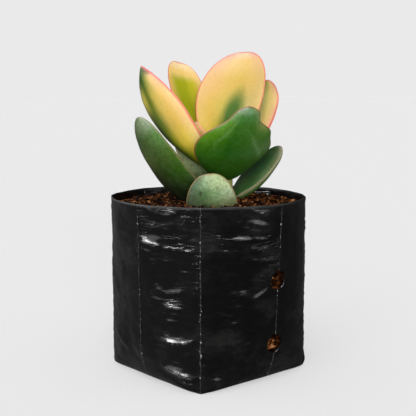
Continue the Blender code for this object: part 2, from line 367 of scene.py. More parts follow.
def around(direction: float, radius: float = 1.0, height: float = 0.0) -> Vector:
    """Point at a direction, a distance from the upright axis and a height."""
    angle = math.radians(direction)
    return Vector((radius * math.cos(angle), radius * math.sin(angle), height))


def close_skin(shape: bmesh.types.BMesh) -> None:
    """Weld seams and poles and turn every face outwards."""
    bmesh.ops.remove_doubles(shape, verts=shape.verts, dist=WELD)
    bmesh.ops.recalc_face_normals(shape, faces=shape.faces)


# ---- bag --------------------------------------------------------------------
@dataclass(frozen=True)
class Crease:
    """An upright fold line: its direction at the mouth and how far it strays by the base."""

    direction: float
    stray: float = 0.0
    stray_power: float = 2.0
    ridge: float = 0.35
    width: float = 1.1

    def direction_at(self, share: float) -> float:
        """Direction at a share of the bag's height."""
        return self.direction + self.stray * (1 - share) ** self.stray_power


@dataclass(frozen=True)
class Wrinkle:
    """A small ridge in the film from one place to another: directions and heights of its ends."""

    start: float
    start_height: float
    end: float
    end_height: float
    width: float = 1.2
    ridge: float = 0.5
    sag: float = 0.0

    def rise(self, direction: float, height: float, radius: float) -> float:
        """Height of the ridge at a place on the film, in millimetres.

        Args:
            direction: Direction round the axis.
            height: Height in millimetres.
            radius: Distance from the axis, in millimetres.

        Returns:
            The ridge's height, less than 0 in the dip beside it.
        """
        to_mm = math.radians(1) * radius
        x = turn_between(self.start, direction) * to_mm
        length_x = turn_between(self.start, self.end) * to_mm
        length_z = self.end_height - self.start_height
        length = math.hypot(length_x, length_z)
        z = height - self.start_height
        reach = 2.5 * self.width
        if x < min(0.0, length_x) - reach or x > max(0.0, length_x) + reach:
            return 0.0
        along = (x * length_x + z * length_z) / (length * length)
        if not 0.0 < along < 1.0:
            return 0.0
        off = (z * length_x - x * length_z) / length
        if length_x < 0:
            off = -off
        off += self.sag * math.sin(math.pi * along)
        if abs(off) > reach:
            return 0.0
        ends = math.sin(math.pi * along) ** 0.6
        dip = 0.35 * math.exp(-((off + 1.3 * self.width) / self.width) ** 2)
        sharp = math.exp(-abs(off / self.width) ** 1.3) - dip
        return self.ridge * ends * sharp


FRONT_WRINKLES = (
    Wrinkle(-152, 62.5, -134, 61, 0.7, 0.45),
    Wrinkle(-134, 61, -116, 58.5, 1.4, 1.5),
    Wrinkle(-121, 59, -96, 57, 0.7, 0.7),
    Wrinkle(-100, 61, -95, 61, 1, 0.7, -0.8),
    Wrinkle(-128, 74, -104, 73, 1.6, 0.7, 2.2),
    Wrinkle(-126, 70, -112, 69.5, 0.8, 0.3),
    Wrinkle(-128, 66.5, -108, 65.5, 0.9, 0.3),
    Wrinkle(-122, 52.5, -108, 53, 0.9, 0.3),
    Wrinkle(-124, 41.5, -112, 40, 1, 0.5),
    Wrinkle(-114, 40, -102, 41.5, 1.3, 1),
    Wrinkle(-125, 37, -115, 37, 0.8, 0.4),
    Wrinkle(-131, 34.5, -118, 35, 0.7, 0.35),
    Wrinkle(-119, 34.5, -103, 34, 1.2, 0.85),
    Wrinkle(-103, 31, -94, 29.5, 0.8, 0.4),
    Wrinkle(-117, 28, -104, 29, 0.9, 0.5),
    Wrinkle(-124, 21.5, -94, 22.5, 1.4, 1.4, 2),
    Wrinkle(-128, 17, -94, 18.5, 0.7, 0.3),
    Wrinkle(-105, 14.5, -99, 16, 0.9, 0.6),
    Wrinkle(-120, 10, -95, 6, 1.8, 2.1, 0.6),
    Wrinkle(-110, 5, -95, 4, 1, 0.9, 0.4),
    Wrinkle(-5, 0, -6, 7, 1, 0.9),
    Wrinkle(-175, 50, -158, 32, 2.2, 0.8),
    Wrinkle(-172, 20, -152, 12, 2, 0.9),
    Wrinkle(-94, 6.5, -80, 4, 1.1, 0.6),
    Wrinkle(-93, 57.5, -73, 57, 0.8, 0.4),
    Wrinkle(-93, 61.5, -76, 62, 0.6, 0.2),
    Wrinkle(-80, 62, -65, 61.5, 0.9, 0.7),
    Wrinkle(-67, 61.5, -51, 62, 0.6, 0.25),
    Wrinkle(-67, 73.5, -53, 70, 1.6, 0.75),
    Wrinkle(-67, 68.5, -52, 66, 1.4, 0.7),
    Wrinkle(-64, 65, -53, 63.5, 1, 0.5),
    Wrinkle(-68, 58, -54, 55, 1.6, 0.35),
    Wrinkle(-68, 54, -53, 51, 1.6, 0.4),
    Wrinkle(-68, 44.5, -50, 43.5, 1.2, 0.5),
    Wrinkle(-66, 35, -50, 41, 1.4, 0.75),
    Wrinkle(-84, 31.5, -72, 30, 0.7, 0.3),
    Wrinkle(-82, 28, -70, 27.5, 0.6, 0.25),
    Wrinkle(-88, 12, -64, 8, 1.6, 0.4),
    Wrinkle(-40, 41, -28, 38, 1.2, 0.35),
    Wrinkle(-30, 60, -10, 52, 1.6, 0.4),
    Wrinkle(-26, 30, -8, 20, 1.8, 0.5),
)


@dataclass(frozen=True)
class FilmFinish:
    """Black polythene: satin, finely crumpled, with pale marks on the folds and wrinkles, partly stress
    whitening and partly painted highlights.
    """

    color: Color = (0.0022, 0.0022, 0.0024)
    # pale colour of the fold and wrinkle marks: stress whitening, and painted highlights where glints fall
    worn_and_glint: Color = (0.34, 0.34, 0.345)
    dust: Color = (0.045, 0.043, 0.040)
    dustiness: float = 0.22
    smooth: float = 0.12         # roughness where the film is cleanest
    cut_edge: float = 0.75       # roughness of the rim
    calm: float = 0.7            # bumps lost where the film is stretched tight
    calm_from: tuple[float, float] = (-93.0, -90.0)   # directions across which that begins
    calm_up_to: tuple[float, float] = (44.0, 53.0)    # heights across which it ends
    swell: float = 8.0           # slow dents, against the crumple

    def make(self, creases: tuple[Crease, ...], height: float) -> bpy.types.Material:
        """Build the material.

        Args:
            creases: The upright folds, which show as thin pale lines.
            height: Height of the bag.

        Returns:
            The material; it reads the film_place attribute: direction, height and stress.
        """
        paint = Paint("black_film")
        direction, level, stress = paint.attribute("film_place")
        place = paint.place()
        # pale fold and wrinkle marks, part stress whitening and part painted highlights
        worn_and_glint = self.wear_and_glints(paint, creases, height, (direction, level, stress))
        haze = paint.step(paint.noise(paint.place((0.6, 0.6, 1.0)), 14.0, 5.0, 0.7), 0.45, 0.75)
        color = paint.mix(paint.times(haze, self.dustiness), self.color, self.dust)
        color = paint.mix(worn_and_glint, color, self.worn_and_glint)
        relief = self.crumple(paint)
        loss = paint.times(paint.step(direction, *self.calm_from),
                           paint.step(level, *self.calm_up_to, self.calm, 0.0))
        relief = paint.times(relief, paint.less(1.0, loss))
        relief = paint.add(relief, paint.times(worn_and_glint, 0.6))
        dents = paint.noise(paint.place((0.8, 0.8, 1.0)), 10.0, 2.0, 0.4)
        paint.bump(paint.add(relief, paint.times(dents, self.swell)), 0.6, 0.25)
        rough = paint.add(self.smooth, paint.times(paint.noise(place, 6.0, 4.0, 0.6), 0.14))
        rough = paint.add(rough, paint.times(haze, 0.14))
        rough = paint.most(rough, paint.step(level, height - 1.4, height - 0.5, 0.0, self.cut_edge))
        return paint.finish(color, rough, Specular_IOR_Level=0.5)

    def wear_and_glints(self, paint: Paint, creases: tuple[Crease, ...], height: float,
             film_place: tuple[Socket, Socket, Socket]) -> Socket:
        """Share of pale marks on the folds and wrinkles: broken lines, beads and wrinkle ridges, partly
        stress whitening and partly painted highlights.

        Args:
            paint: The film's material.
            creases: The upright folds.
            height: Height of the bag.
            film_place: Direction, height and stress of the shaded point.

        Returns:
            The share, from 0 to 1.
        """
        direction, level, stress = film_place
        place = paint.place()
        low = paint.less(1.0, paint.math("DIVIDE", level, height))
        broken = paint.step(paint.noise(place, 1.5, 4.0, 0.65), 0.44, 0.68)
        wander = paint.times(paint.less(paint.noise(place, 6.0), 0.5), 1.6)
        lines, spots = [], []
        for crease in creases:
            stray = paint.times(paint.math("POWER", low, crease.stray_power), crease.stray)
            away = paint.less(paint.add(direction, wander), paint.add(stray, crease.direction))
            away = paint.math("ABSOLUTE", paint.math("WRAP", away, 180.0, -180.0))
            lines.append(paint.step(away, 0.10, 0.42, 1.0, 0.0))
            spots.append(paint.step(away, 0.35, 0.85, 1.0, 0.0))
        # beads: bright specks along the folds, painted highlights
        beads = paint.step(paint.noise(place, 1.1, 2.0), 0.60, 0.70, 0.0, 0.75)
        marks = paint.most(paint.math("MULTIPLY_ADD", broken, 0.16, 0.03), beads)
        knots = paint.step(paint.noise(place, 1.7, 1.0), 0.66, 0.72, 0.0, 0.8)
        # ridges: pale lines on the sharpest front wrinkles, painted highlights where their glints fall
        ridges = paint.times(paint.step(stress, 0.45, 1.0, 0.0, 0.6), broken)
        return paint.most(paint.times(paint.most(*lines), marks),
                          paint.times(paint.most(*spots), knots), ridges)

    def crumple(self, paint: Paint) -> Socket:
        """Fine level folds in patches, larger dented cells and a faint grain.

        Args:
            paint: The material under construction.

        Returns:
            Socket of the height.
        """
        place = paint.place()
        flat = paint.place((0.3, 0.3, 1.4))
        folds = paint.math("MULTIPLY_ADD", paint.noise(flat, 2.6, 3.0, 0.5, 0.6), 2.0, -1.0)
        folds = paint.math("POWER", paint.less(1.0, paint.math("ABSOLUTE", folds)), 6.0)
        folds = paint.times(folds, paint.step(paint.noise(place, 12.0, 2.0), 0.42, 0.62))
        bent = paint.node("VectorMath", {0: place, 1: self.warp(paint, place)}, operation="ADD").outputs[0]
        relief = paint.add(paint.times(folds, 0.8), paint.times(paint.cells(bent, 4.5), 0.45))
        fine = paint.noise(paint.place((0.5, 0.5, 1.6)), 1.0, 4.0, 0.65)
        return paint.add(relief, paint.times(fine, 0.22))

    def warp(self, paint: Paint, place: Socket) -> Socket:
        """Noise vector in millimetres that bends the crumple's cells.

        Args:
            paint: The material under construction.
            place: Where the pattern is read, in millimetres.

        Returns:
            Socket of the vector.
        """
        color = paint.node("TexNoise", {"Vector": place, "Scale": 0.09, "Detail": 2.0}).outputs["Color"]
        centred = paint.node("VectorMath", {0: color, 1: (0.5, 0.5, 0.5)}, operation="SUBTRACT").outputs[0]
        return paint.node("VectorMath", {0: centred, "Scale": 9.0}, operation="SCALE").outputs[0]


@dataclass
class GrowBag:
    """The film bag: square base, sides that tuck under, round mouth, punched drain holes."""

    mouth_radius: float = 42.0
    height: float = 75.0
    base_side: float = 60.0
    tuck_height: float = 22.0
    swell_radius: float = 38.5
    film: float = 0.22
    front_fold: float = -94.0
    hole_diameter: float = 8.0
    hole_directions: tuple[float, ...] = (-44.3, 135.7)
    hole_heights: tuple[float, ...] = (16.5, 43.5)
    columns: int = 264
    wall_rows: int = 150
    floor_rows: int = 8
    back_wrinkles: int = 46
    wrinkled_turn: float = 100.0     # turn from the front fold that the listed wrinkles stay within
    creases: tuple[Crease, ...] = field(init=False)
    wrinkles: tuple[Wrinkle, ...] = field(init=False)

    def __post_init__(self) -> None:
        """Work out the folds and the wrinkles of the sides that have none of their own."""
        corners = tuple(Crease(self.front_fold + 90 * k, 0, 1, 0.45, 0.8) for k in range(4))
        middles = (Crease(-45, 1.5, 1, 0.3, 0.8), Crease(135, 1.5, 1, 0.3, 0.8),
                   Crease(-132, -5, 1, 0.35, 0.8), Crease(48, -5, 1, 0.35, 0.8))
        self.creases = corners + middles
        draw = random.Random(11)
        scattered = []
        for _ in range(self.back_wrinkles):
            direction = draw.uniform(8, 168)
            height = draw.uniform(3, self.height - 2)
            reach = draw.uniform(7, 22)
            climb = draw.uniform(-2.5, 2.5)
            scattered.append(Wrinkle(direction, height, direction + reach, height + climb,
                                     draw.uniform(0.7, 1.5), draw.uniform(0.15, 0.55),
                                     draw.uniform(-1, 1.5)))
        self.wrinkles = FRONT_WRINKLES + tuple(scattered)

    def side_distance(self, height: float) -> float:
        """Distance from the axis to the middle of a side.

        Args:
            height: Height in millimetres.

        Returns:
            The distance in millimetres.
        """
        half_base = self.base_side / 2
        if height < self.tuck_height:
            left = 1 - height / self.tuck_height
            return half_base + (self.swell_radius - half_base) * math.sqrt(max(0.0, 1 - left * left))
        rise = (height - self.tuck_height) / (self.height - self.tuck_height)
        return self.swell_radius + (self.mouth_radius - self.swell_radius) * rise

    def reach(self, direction: float, height: float, inset: float = 0.0) -> float:
        """Distance from the axis to the smooth wall in a direction at a height.

        Args:
            direction: Direction round the axis.
            height: Height in millimetres.
            inset: How far inside the wall to measure.

        Returns:
            The distance in millimetres.
        """
        side = self.side_distance(height) - inset
        corner = min(self.mouth_radius - inset * 1.35, side * 1.39)
        power = 1 / (0.5 - math.log2(corner / side))
        from_side = math.radians(direction - self.front_fold + 45)
        return (abs(math.cos(from_side) / side) ** power
                + abs(math.sin(from_side) / side) ** power) ** (-1 / power)

    def relief(self, direction: float, height: float, radius: float) -> float:
        """How far the film stands out from the smooth wall.

        Args:
            direction: Direction round the axis.
            height: Height in millimetres.
            radius: Distance from the axis, in millimetres.

        Returns:
            The distance in millimetres.
        """
        share = height / self.height
        to_mm = math.radians(1) * radius
        out = 0.0
        nearest = 180.0
        for crease in self.creases:
            off = turn_between(crease.direction_at(share), direction) * to_mm
            nearest = min(nearest, abs(off))
            beads = 0.6 + 0.8 * abs(noise.noise(Vector((crease.direction, height / 2.6, 0))))
            out += crease.ridge * beads * math.exp(-(off / crease.width) ** 2)
        out -= 0.55 * smoothstep(nearest, 1.5, 12.0)
        for wrinkle in self.wrinkles:
            out += wrinkle.rise(direction, height, radius)
        place = around(direction, radius, height)
        out += 0.25 * noise.noise(place / 17.0)
        flat = Vector((place.x / 11, place.y / 11, place.z / 5))
        gaps = noise.voronoi(flat + noise.noise_vector(place / 9.0) * 0.5)[0]
        out += 0.16 * min(1.0, (gaps[1] - gaps[0]) * 1.8) - 0.08
        out += 0.10 * noise.noise(Vector((place.x / 4, place.y / 4, place.z / 1.6)))
        quiet = smoothstep(height, 0.0, 2.0) * 0.8 + 0.2
        return out * quiet

    def stress(self, direction: float, level: float) -> float:
        """How sharply the sides' own wrinkles bend the film at a place.

        Args:
            direction: Direction round the axis.
            level: Height up the wall.

        Returns:
            The ridge's height over its width.
        """
        if level < 0 or turn_between(self.front_fold, direction) < -self.wrinkled_turn:
            return 0.0
        return max(wrinkle.rise(direction, level, self.mouth_radius) / wrinkle.width
                   for wrinkle in FRONT_WRINKLES)

    def film_point(self, direction: float, level: float) -> Vector:
        """A point of the film's outside.

        Args:
            direction: Direction round the axis.
            level: Height up the wall; below 0 it is the share of the floor, less 1.

        Returns:
            The point in metres.
        """
        if level < 0:
            radius = self.reach(direction, 0.0) * (1 + level)
            height = 0.25 * (1 + noise.noise(Vector((radius / 6, direction / 20, 0))))
            height *= smoothstep(-level, 0, 0.2)
        else:
            height = level
            radius = self.reach(direction, level)
            radius += self.relief(direction, level, radius)
            if level > self.height - 0.01:
                height += 0.25 * noise.noise(Vector((direction / 14, 0, 3)))
        return around(direction, radius, height) * MM

    def build(self) -> bpy.types.Object:
        """Draw a grid round the bag, close its seam and floor, and punch the holes.

        Returns:
            The film as a thin shell.
        """
        shape = bmesh.new()
        rows = self.wall_rows + self.floor_rows
        bmesh.ops.create_grid(shape, x_segments=self.columns, y_segments=rows, size=1.0)
        film_place = shape.loops.layers.float_vector.new("film_place")
        places = {}
        for vertex in shape.verts:
            direction = self.front_fold + 180 + (vertex.co.x + 1) * 180
            row = (vertex.co.y + 1) / 2 * rows
            if row < self.floor_rows - 0.5:
                level = row / self.floor_rows - 1
            else:
                level = (row - self.floor_rows) / self.wall_rows * self.height
            places[vertex] = (direction - 360, level)
        for face in shape.faces:
            for loop in face.loops:
                direction, level = places[loop.vert]
                # its third number, the wrinkles' sharpness, places the film's painted highlights
                loop[film_place] = Vector((direction, max(0.0, level), self.stress(direction, level)))
        for vertex in shape.verts:
            vertex.co = self.film_point(*places[vertex])
        bmesh.ops.remove_doubles(shape, verts=shape.verts, dist=WELD)
        for direction in self.hole_directions:
            for height in self.hole_heights:
                self.punch(shape, direction, height)
        bmesh.ops.recalc_face_normals(shape, faces=shape.faces)
        bag = keep("film_bag", shape, FilmFinish().make(self.creases, self.height))
        wall = bag.modifiers.new("film", "SOLIDIFY")
        wall.thickness = self.film * MM
        wall.offset = -1.0
        settle(bag, Slot.FILM, Node.BAG.value)
        return bag

    def punch(self, shape: bmesh.types.BMesh, direction: float, height: float) -> None:
        """Cut one round hole: drop the faces inside it and draw its edge onto a circle.

        Args:
            shape: The bmesh that is changed.
            direction: Direction round the axis.
            height: Height of the hole's middle.
        """
        out = around(direction)
        across = Vector((-out.y, out.x, 0))
        centre = out * self.side_distance(height) * MM + Vector((0, 0, height * MM))
        radius = self.hole_diameter / 2 * MM

        def offset(point: Vector) -> Vector:
            """Place of a point against the hole, across and up."""
            from_centre = point - centre
            return Vector((from_centre.dot(across), from_centre.z))

        near = [face for face in shape.faces
                if face.calc_center_median().dot(out) > 0
                and offset(face.calc_center_median()).length < radius]
        edge = {vertex for face in near for vertex in face.verts
                if any(other not in near for other in vertex.link_faces)}
        for vertex in edge:
            place = offset(vertex.co)
            move = place.normalized() * radius - place
            vertex.co += across * move.x + Vector((0, 0, move.y))
        bmesh.ops.delete(shape, geom=near, context="FACES")


# ---- soil -------------------------------------------------------------------
@dataclass(frozen=True)
class SoilFinish:
    """Moist coir: rust-brown crumbs from near black to orange."""

    dark: Color = (0.004, 0.0015, 0.0008)
    brown: Color = (0.032, 0.010, 0.0035)
    rust: Color = (0.15, 0.050, 0.014)
    pale: Color = (0.45, 0.20, 0.080)

    def make(self, name: str, by_grain: bool) -> bpy.types.Material:
        """Build the material.

        Args:
            name: Name of the material.
            by_grain: Whether each grain has its own tone attribute.

        Returns:
            The material.
        """
        paint = Paint(name)
        place = paint.place()
        fine = paint.noise(place, 0.7, 6.0, 0.7)
        if by_grain:
            tone = paint.less(paint.add(paint.number("tone"), paint.times(fine, 0.35)), 0.17)
        else:
            tone = paint.step(paint.noise(place, 1.4, 8.0, 0.75), 0.3, 0.8)
        color = paint.ramp(tone, ((0.15, self.dark), (0.42, self.brown), (0.68, self.rust),
                                  (0.95, self.pale)))
        paint.bump(fine, 0.8, 0.3)
        rough = paint.add(0.62, paint.times(fine, 0.3))
        return paint.finish(color, rough, Specular_IOR_Level=0.02)


@dataclass
class PottingSoil:
    """The coir in the bag: a crumbly mound, loose crumbs and fibres on it and in the drain holes."""

    bag: GrowBag
    drop: float = 3.8
    mound: float = 2.2
    inset: float = 0.9
    lump: float = 1.0
    crumb_count: int = 2600
    fibre_count: int = 260
    hole_crumbs: int = 46
    hole_depth: float = 4.6
    columns: int = 220
    top_rows: int = 64
    wall_rows: int = 48

    def surface(self, x: float, y: float) -> float:
        """Height of the soil's top at a place, in millimetres.

        Args:
            x: Distance to the right of the axis.
            y: Distance behind the axis.

        Returns:
            The height.
        """
        share = min(1.0, math.hypot(x, y) / self.bag.mouth_radius)
        mound = self.mound * math.cos(share * math.pi / 2)
        place = Vector((x, y, 0))
        lumps = 0.6 * noise.noise(place / 4.5) + 0.45 * noise.noise(place / 1.7 + Vector((7, 0, 0)))
        lumps += 0.25 * noise.noise(place / 0.8)
        return self.bag.height - self.drop + mound + self.lump * lumps

    def build(self) -> list[bpy.types.Object]:
        """Make the soil's body, its crumbs and its fibres.

        Returns:
            The three pieces.
        """
        finish = SoilFinish()
        body = self.body(finish)
        crumbs = self.crumbs(finish)
        fibres = self.fibres(finish)
        settle(body, Slot.SOIL, Node.SOIL.value)
        settle(crumbs, Slot.SOIL)
        settle(fibres, Slot.SOIL)
        return [body, crumbs, fibres]

    def body(self, finish: SoilFinish) -> bpy.types.Object:
        """A grid wrapped round the inside of the bag and over the mound.

        Args:
            finish: The coir's finish.

        Returns:
            The solid body of soil.
        """
        shape = bmesh.new()
        rows = self.wall_rows + self.top_rows
        bmesh.ops.create_grid(shape, x_segments=self.columns, y_segments=rows, size=1.0)
        top = self.bag.height - self.drop
        for vertex in shape.verts:
            direction = (vertex.co.x + 1) * 180
            row = (vertex.co.y + 1) / 2 * rows
            if row < 0.5:
                vertex.co = Vector((0, 0, self.inset * MM))
                continue
            if row < self.wall_rows + 0.5:
                height = self.inset + (top - self.inset) * (row - 1) / (self.wall_rows - 1)
                reach = self.bag.reach(direction, height, self.inset)
                reach -= 0.35 * abs(noise.noise(around(direction, 3, height) / 2))
                reach -= self.hollow(direction, height)
                vertex.co = around(direction, reach, height) * MM
                if row > self.wall_rows - 0.5:
                    vertex.co.z = self.surface(vertex.co.x / MM, vertex.co.y / MM) * MM
                continue
            share = 1 - (row - self.wall_rows) / self.top_rows
            place = around(direction, self.bag.reach(direction, top, self.inset) * share)
            place.z = self.surface(place.x, place.y)
            vertex.co = place * MM
        close_skin(shape)
        return keep("coir_body", shape, finish.make("coir", False))

    def hollow(self, direction: float, height: float) -> float:
        """How far the coir's side sinks behind the nearest drain hole.

        Args:
            direction: Direction round the axis.
            height: Height in millimetres.

        Returns:
            The depth in millimetres.
        """
        deepest = 0.0
        for hole in self.bag.hole_directions:
            for level in self.bag.hole_heights:
                off = math.radians(turn_between(hole, direction)) * self.bag.side_distance(level)
                away = math.hypot(off, height - level)
                deepest = max(deepest, self.hole_depth * (1 - smoothstep(away, 4.0, 7.5)))
        return deepest

    def crumb_templates(self, draw: random.Random) -> list[bpy.types.Mesh]:
        """A few rough lumps of 20 faces to scatter.

        Args:
            draw: Source of the random draws.

        Returns:
            Their meshes, 1 unit across.
        """
        meshes = []
        for _ in range(8):
            shape = bmesh.new()
            bmesh.ops.create_icosphere(shape, subdivisions=1, radius=0.5)
            for vertex in shape.verts:
                vertex.co *= draw.uniform(0.7, 1.25)
            meshes.append(self.template("crumb", shape))
        return meshes

    def template(self, name: str, shape: bmesh.types.BMesh) -> bpy.types.Mesh:
        """Keep a grain's bmesh as a mesh to scatter, with room for its tone.

        Args:
            name: Name of the mesh.
            shape: The finished grain; it is freed.

        Returns:
            The mesh.
        """
        shape.faces.layers.float.new("tone")
        mesh = bpy.data.meshes.new(name)
        shape.to_mesh(mesh)
        shape.free()
        return mesh

    def scatter(self, shape: bmesh.types.BMesh, template: bpy.types.Mesh, matrix: Matrix,
                tone: float) -> None:
        """Add a moved copy of a template to a bmesh, with its tone.

        Args:
            shape: The bmesh that is changed.
            template: Mesh of one grain.
            matrix: Place, turn and size of the copy.
            tone: How pale it is, from 0 to 1.
        """
        copy = template.copy()
        copy.transform(matrix)
        values = copy.attributes["tone"].data
        values.foreach_set("value", [tone] * len(values))
        shape.from_mesh(copy)
        bpy.data.meshes.remove(copy)

    def crumbs(self, finish: SoilFinish) -> bpy.types.Object:
        """Loose crumbs over the mound and behind the drain holes.

        Args:
            finish: The coir's finish.

        Returns:
            All the crumbs as one piece.
        """
        draw = random.Random(5)
        templates = self.crumb_templates(draw)
        shape = bmesh.new()
        for _ in range(self.crumb_count):
            angle = draw.uniform(0, 2 * math.pi)
            share = math.sqrt(draw.uniform(0.0, 1.0))
            reach = self.bag.reach(math.degrees(angle), self.bag.height - 4, self.inset + 0.8) * share
            x, y = reach * math.cos(angle), reach * math.sin(angle)
            size = draw.uniform(0.6, 1.7) * (1.5 if draw.random() < 0.08 else 1.0)
            place = Vector((x, y, self.surface(x, y) + size * draw.uniform(-0.1, 0.35)))
            self.scatter(shape, draw.choice(templates), self.turned(draw, place, size),
                         draw.betavariate(1.3, 2.0))
        for direction in self.bag.hole_directions:
            for height in self.bag.hole_heights:
                self.fill_hole(shape, draw, templates, direction, height)
        return keep("coir_crumbs", shape, finish.make("coir_crumbs", True), smooth=False)

    def fill_hole(self, shape: bmesh.types.BMesh, draw: random.Random,
                  templates: list[bpy.types.Mesh], direction: float, height: float) -> None:
        """Bigger crumbs that show through one drain hole.

        Args:
            shape: The bmesh that is changed.
            draw: Source of the random draws.
            templates: Meshes of single crumbs.
            direction: Direction round the axis.
            height: Height in millimetres.
        """
        out = around(direction)
        across = Vector((-out.y, out.x, 0))
        for _ in range(self.hole_crumbs):
            turn = draw.uniform(0, 2 * math.pi)
            reach = (self.bag.hole_diameter / 2 + 1.4) * math.sqrt(draw.random())
            size = draw.uniform(1.0, 2.8)
            depth = self.bag.side_distance(height) - 1.0 - size / 2
            depth -= draw.uniform(0.4, self.hole_depth - 1.0)
            place = (out * depth + across * reach * math.cos(turn)
                     + Vector((0, 0, height + reach * math.sin(turn))))
            self.scatter(shape, draw.choice(templates), self.turned(draw, place, size),
                         draw.betavariate(0.9, 1.3))

    def turned(self, draw: random.Random, place: Vector, size: float) -> Matrix:
        """A random turn and stretch at a place, from millimetres to metres.

        Args:
            draw: Source of the random draws.
            place: Middle of the grain, in millimetres.
            size: Size in millimetres.

        Returns:
            The whole transform.
        """
        axis = Vector((draw.gauss(0, 1), draw.gauss(0, 1), draw.gauss(0, 1))).normalized()
        stretch = Matrix.Diagonal((size * draw.uniform(0.7, 1.4), size, size * draw.uniform(0.5, 1.0), 1))
        turn = Matrix.Rotation(draw.uniform(0, 2 * math.pi), 4, axis)
        return Matrix.Scale(MM, 4) @ Matrix.Translation(place) @ turn @ stretch

    def fibre_templates(self, draw: random.Random) -> list[bpy.types.Mesh]:
        """A few bent three-sided threads to scatter.

        Args:
            draw: Source of the random draws.

        Returns:
            Their meshes, 1 unit long.
        """
        meshes = []
        for _ in range(6):
            shape = bmesh.new()
            bmesh.ops.create_cone(shape, cap_ends=True, segments=3, radius1=0.09, radius2=0.05, depth=1.0)
            upright = [edge for edge in shape.edges if abs(edge.verts[0].co.z - edge.verts[1].co.z) > 0.5]
            bmesh.ops.subdivide_edges(shape, edges=upright, cuts=5)
            bow, kink = draw.uniform(-0.25, 0.25), draw.uniform(-0.1, 0.1)
            for vertex in shape.verts:
                along = vertex.co.z * 2
                vertex.co.x = vertex.co.x * 0.4 + bow * (1 - along * along)
                vertex.co.y = vertex.co.y * 0.4 + kink * math.sin(along * 3)
            meshes.append(self.template("fibre", shape))
        return meshes

    def fibres(self, finish: SoilFinish) -> bpy.types.Object:
        """Coir fibres lying on the mound.

        Args:
            finish: The coir's finish.

        Returns:
            All the fibres as one piece.
        """
        draw = random.Random(8)
        templates = self.fibre_templates(draw)
        shape = bmesh.new()
        for _ in range(self.fibre_count):
            angle = draw.uniform(0, 2 * math.pi)
            share = math.sqrt(draw.uniform(0.0, 0.94))
            reach = (self.bag.mouth_radius - 3.5) * share
            x, y = reach * math.cos(angle), reach * math.sin(angle)
            length = draw.uniform(2.0, 5.5)
            place = Vector((x, y, self.surface(x, y) + draw.uniform(0.3, 0.8)))
            lie = Matrix.Rotation(draw.uniform(0, 2 * math.pi), 4, "Z") @ Matrix.Rotation(
                math.radians(draw.uniform(72, 100)), 4, "Y")
            matrix = Matrix.Scale(MM, 4) @ Matrix.Translation(place) @ lie @ Matrix.Diagonal(
                (2.2, 2.2, length, 1))
            self.scatter(shape, draw.choice(templates), matrix, draw.uniform(0.3, 0.9))
        return keep("coir_fibres", shape, finish.make("coir_fibres", True))


# ---- stem and roots ---------------------------------------------------------
@dataclass(frozen=True)
class StemFinish:
    """Young succulent stem: yellow-green and grainy, with small brown marks."""

    green: Color = (0.22, 0.30, 0.05)
    pale: Color = (0.48, 0.48, 0.16)
    brown: Color = (0.20, 0.13, 0.06)

    def make(self) -> bpy.types.Material:
        """Build the material.

        Returns:
            The material.
        """
        paint = Paint("stem_skin")
        place = paint.place()
        grain = paint.noise(place, 1.1, 5.0, 0.65)
        color = paint.mix(paint.step(grain, 0.35, 0.65), self.green, self.pale)
        marks = paint.step(paint.cells(place, 1.6), 0.05, 0.3, 1.0, 0.0)
        color = paint.mix(paint.times(marks, 0.5), color, self.brown)
        paint.bump(paint.less(grain, paint.times(marks, 0.4)), 0.6, 0.3)
        return paint.finish(color, 0.55, Specular_IOR_Level=0.35)


@dataclass
class Stem:
    """The stem: a rounded column that leans and thins, with swollen joints."""

    foot_x: float = 2.6
    foot_z: float = 45.0
    height: float = 50.0
    lean: float = 10.6
    back: float = 7.2
    radius: float = 4.8
    thinning: float = 1.6
    joints: tuple[float, ...] = (30.0, 38.5, 46.0)

    def axis(self, share: float) -> float:
        """X of the stem's middle at a share of its height."""
        return self.foot_x + self.lean * share - self.back * share * share

    def build(self) -> bpy.types.Object:
        """Draw a sphere out along the stem's axis.

        Returns:
            The stem.
        """
        shape = bmesh.new()
        bmesh.ops.create_uvsphere(shape, u_segments=64, v_segments=120, radius=1)
        tip = 0.9
        for vertex in shape.verts:
            share = 1 - math.acos(max(-1.0, min(1.0, vertex.co.z))) / math.pi
            radius = self.radius - self.thinning * share ** 3
            if share > tip:
                radius *= math.sqrt(max(0.0, 1 - ((share - tip) / (1 - tip)) ** 2))
            height = self.height * share
            outward = Vector((vertex.co.x, vertex.co.y))
            if outward.length > 0.001:
                outward = outward.normalized()
                for joint in self.joints:
                    radius += 0.18 * math.exp(-((height - joint) / 1.2) ** 2)
                radius += 0.2 * noise.noise(Vector((outward.x * 3, outward.y * 3, height / 2.2)))
                outward = outward * radius
            vertex.co = Vector((self.axis(share) + outward.x, outward.y, self.foot_z + height)) * MM
        close_skin(shape)
        stem = keep("stem_skin", shape, StemFinish().make())
        settle(stem, Slot.STEM, Node.STEM.value)
        return stem


def dress_roots() -> None:
    """Give the frame's roots a fibrous pale-brown skin."""
    paint = Paint("root_bark")
    place = paint.place((1.0, 1.0, 0.4))
    grain = paint.noise(place, 0.9, 6.0, 0.7)
    color = paint.ramp(grain, ((0.3, (0.18, 0.10, 0.05)), (0.5, (0.45, 0.30, 0.17)),
                               (0.7, (0.68, 0.53, 0.34))))
    paint.bump(grain, 0.8, 0.3)
    material = paint.finish(color, 0.75, Specular_IOR_Level=0.3)
    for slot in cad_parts[Node.ROOTS.value].material_slots:
        slot.material = material
    log.info("%s: dressed", Node.ROOTS.value)


# ---- leaves -----------------------------------------------------------------
@dataclass(frozen=True)
class Band:
    """Colours across a blade at one share of its length; stops run from one margin to the other."""

    share: float
    stops: Stops


@dataclass(frozen=True)
class Patch:
    """A soft patch of colour on a blade: its middle and half sizes across and along."""

    side: float
    share: float
    half_side: float
    half_share: float
    color: Color
    amount: float = 1.0
    soft: float = 0.6
    lean: float = 0.0            # how far its middle moves across per share along


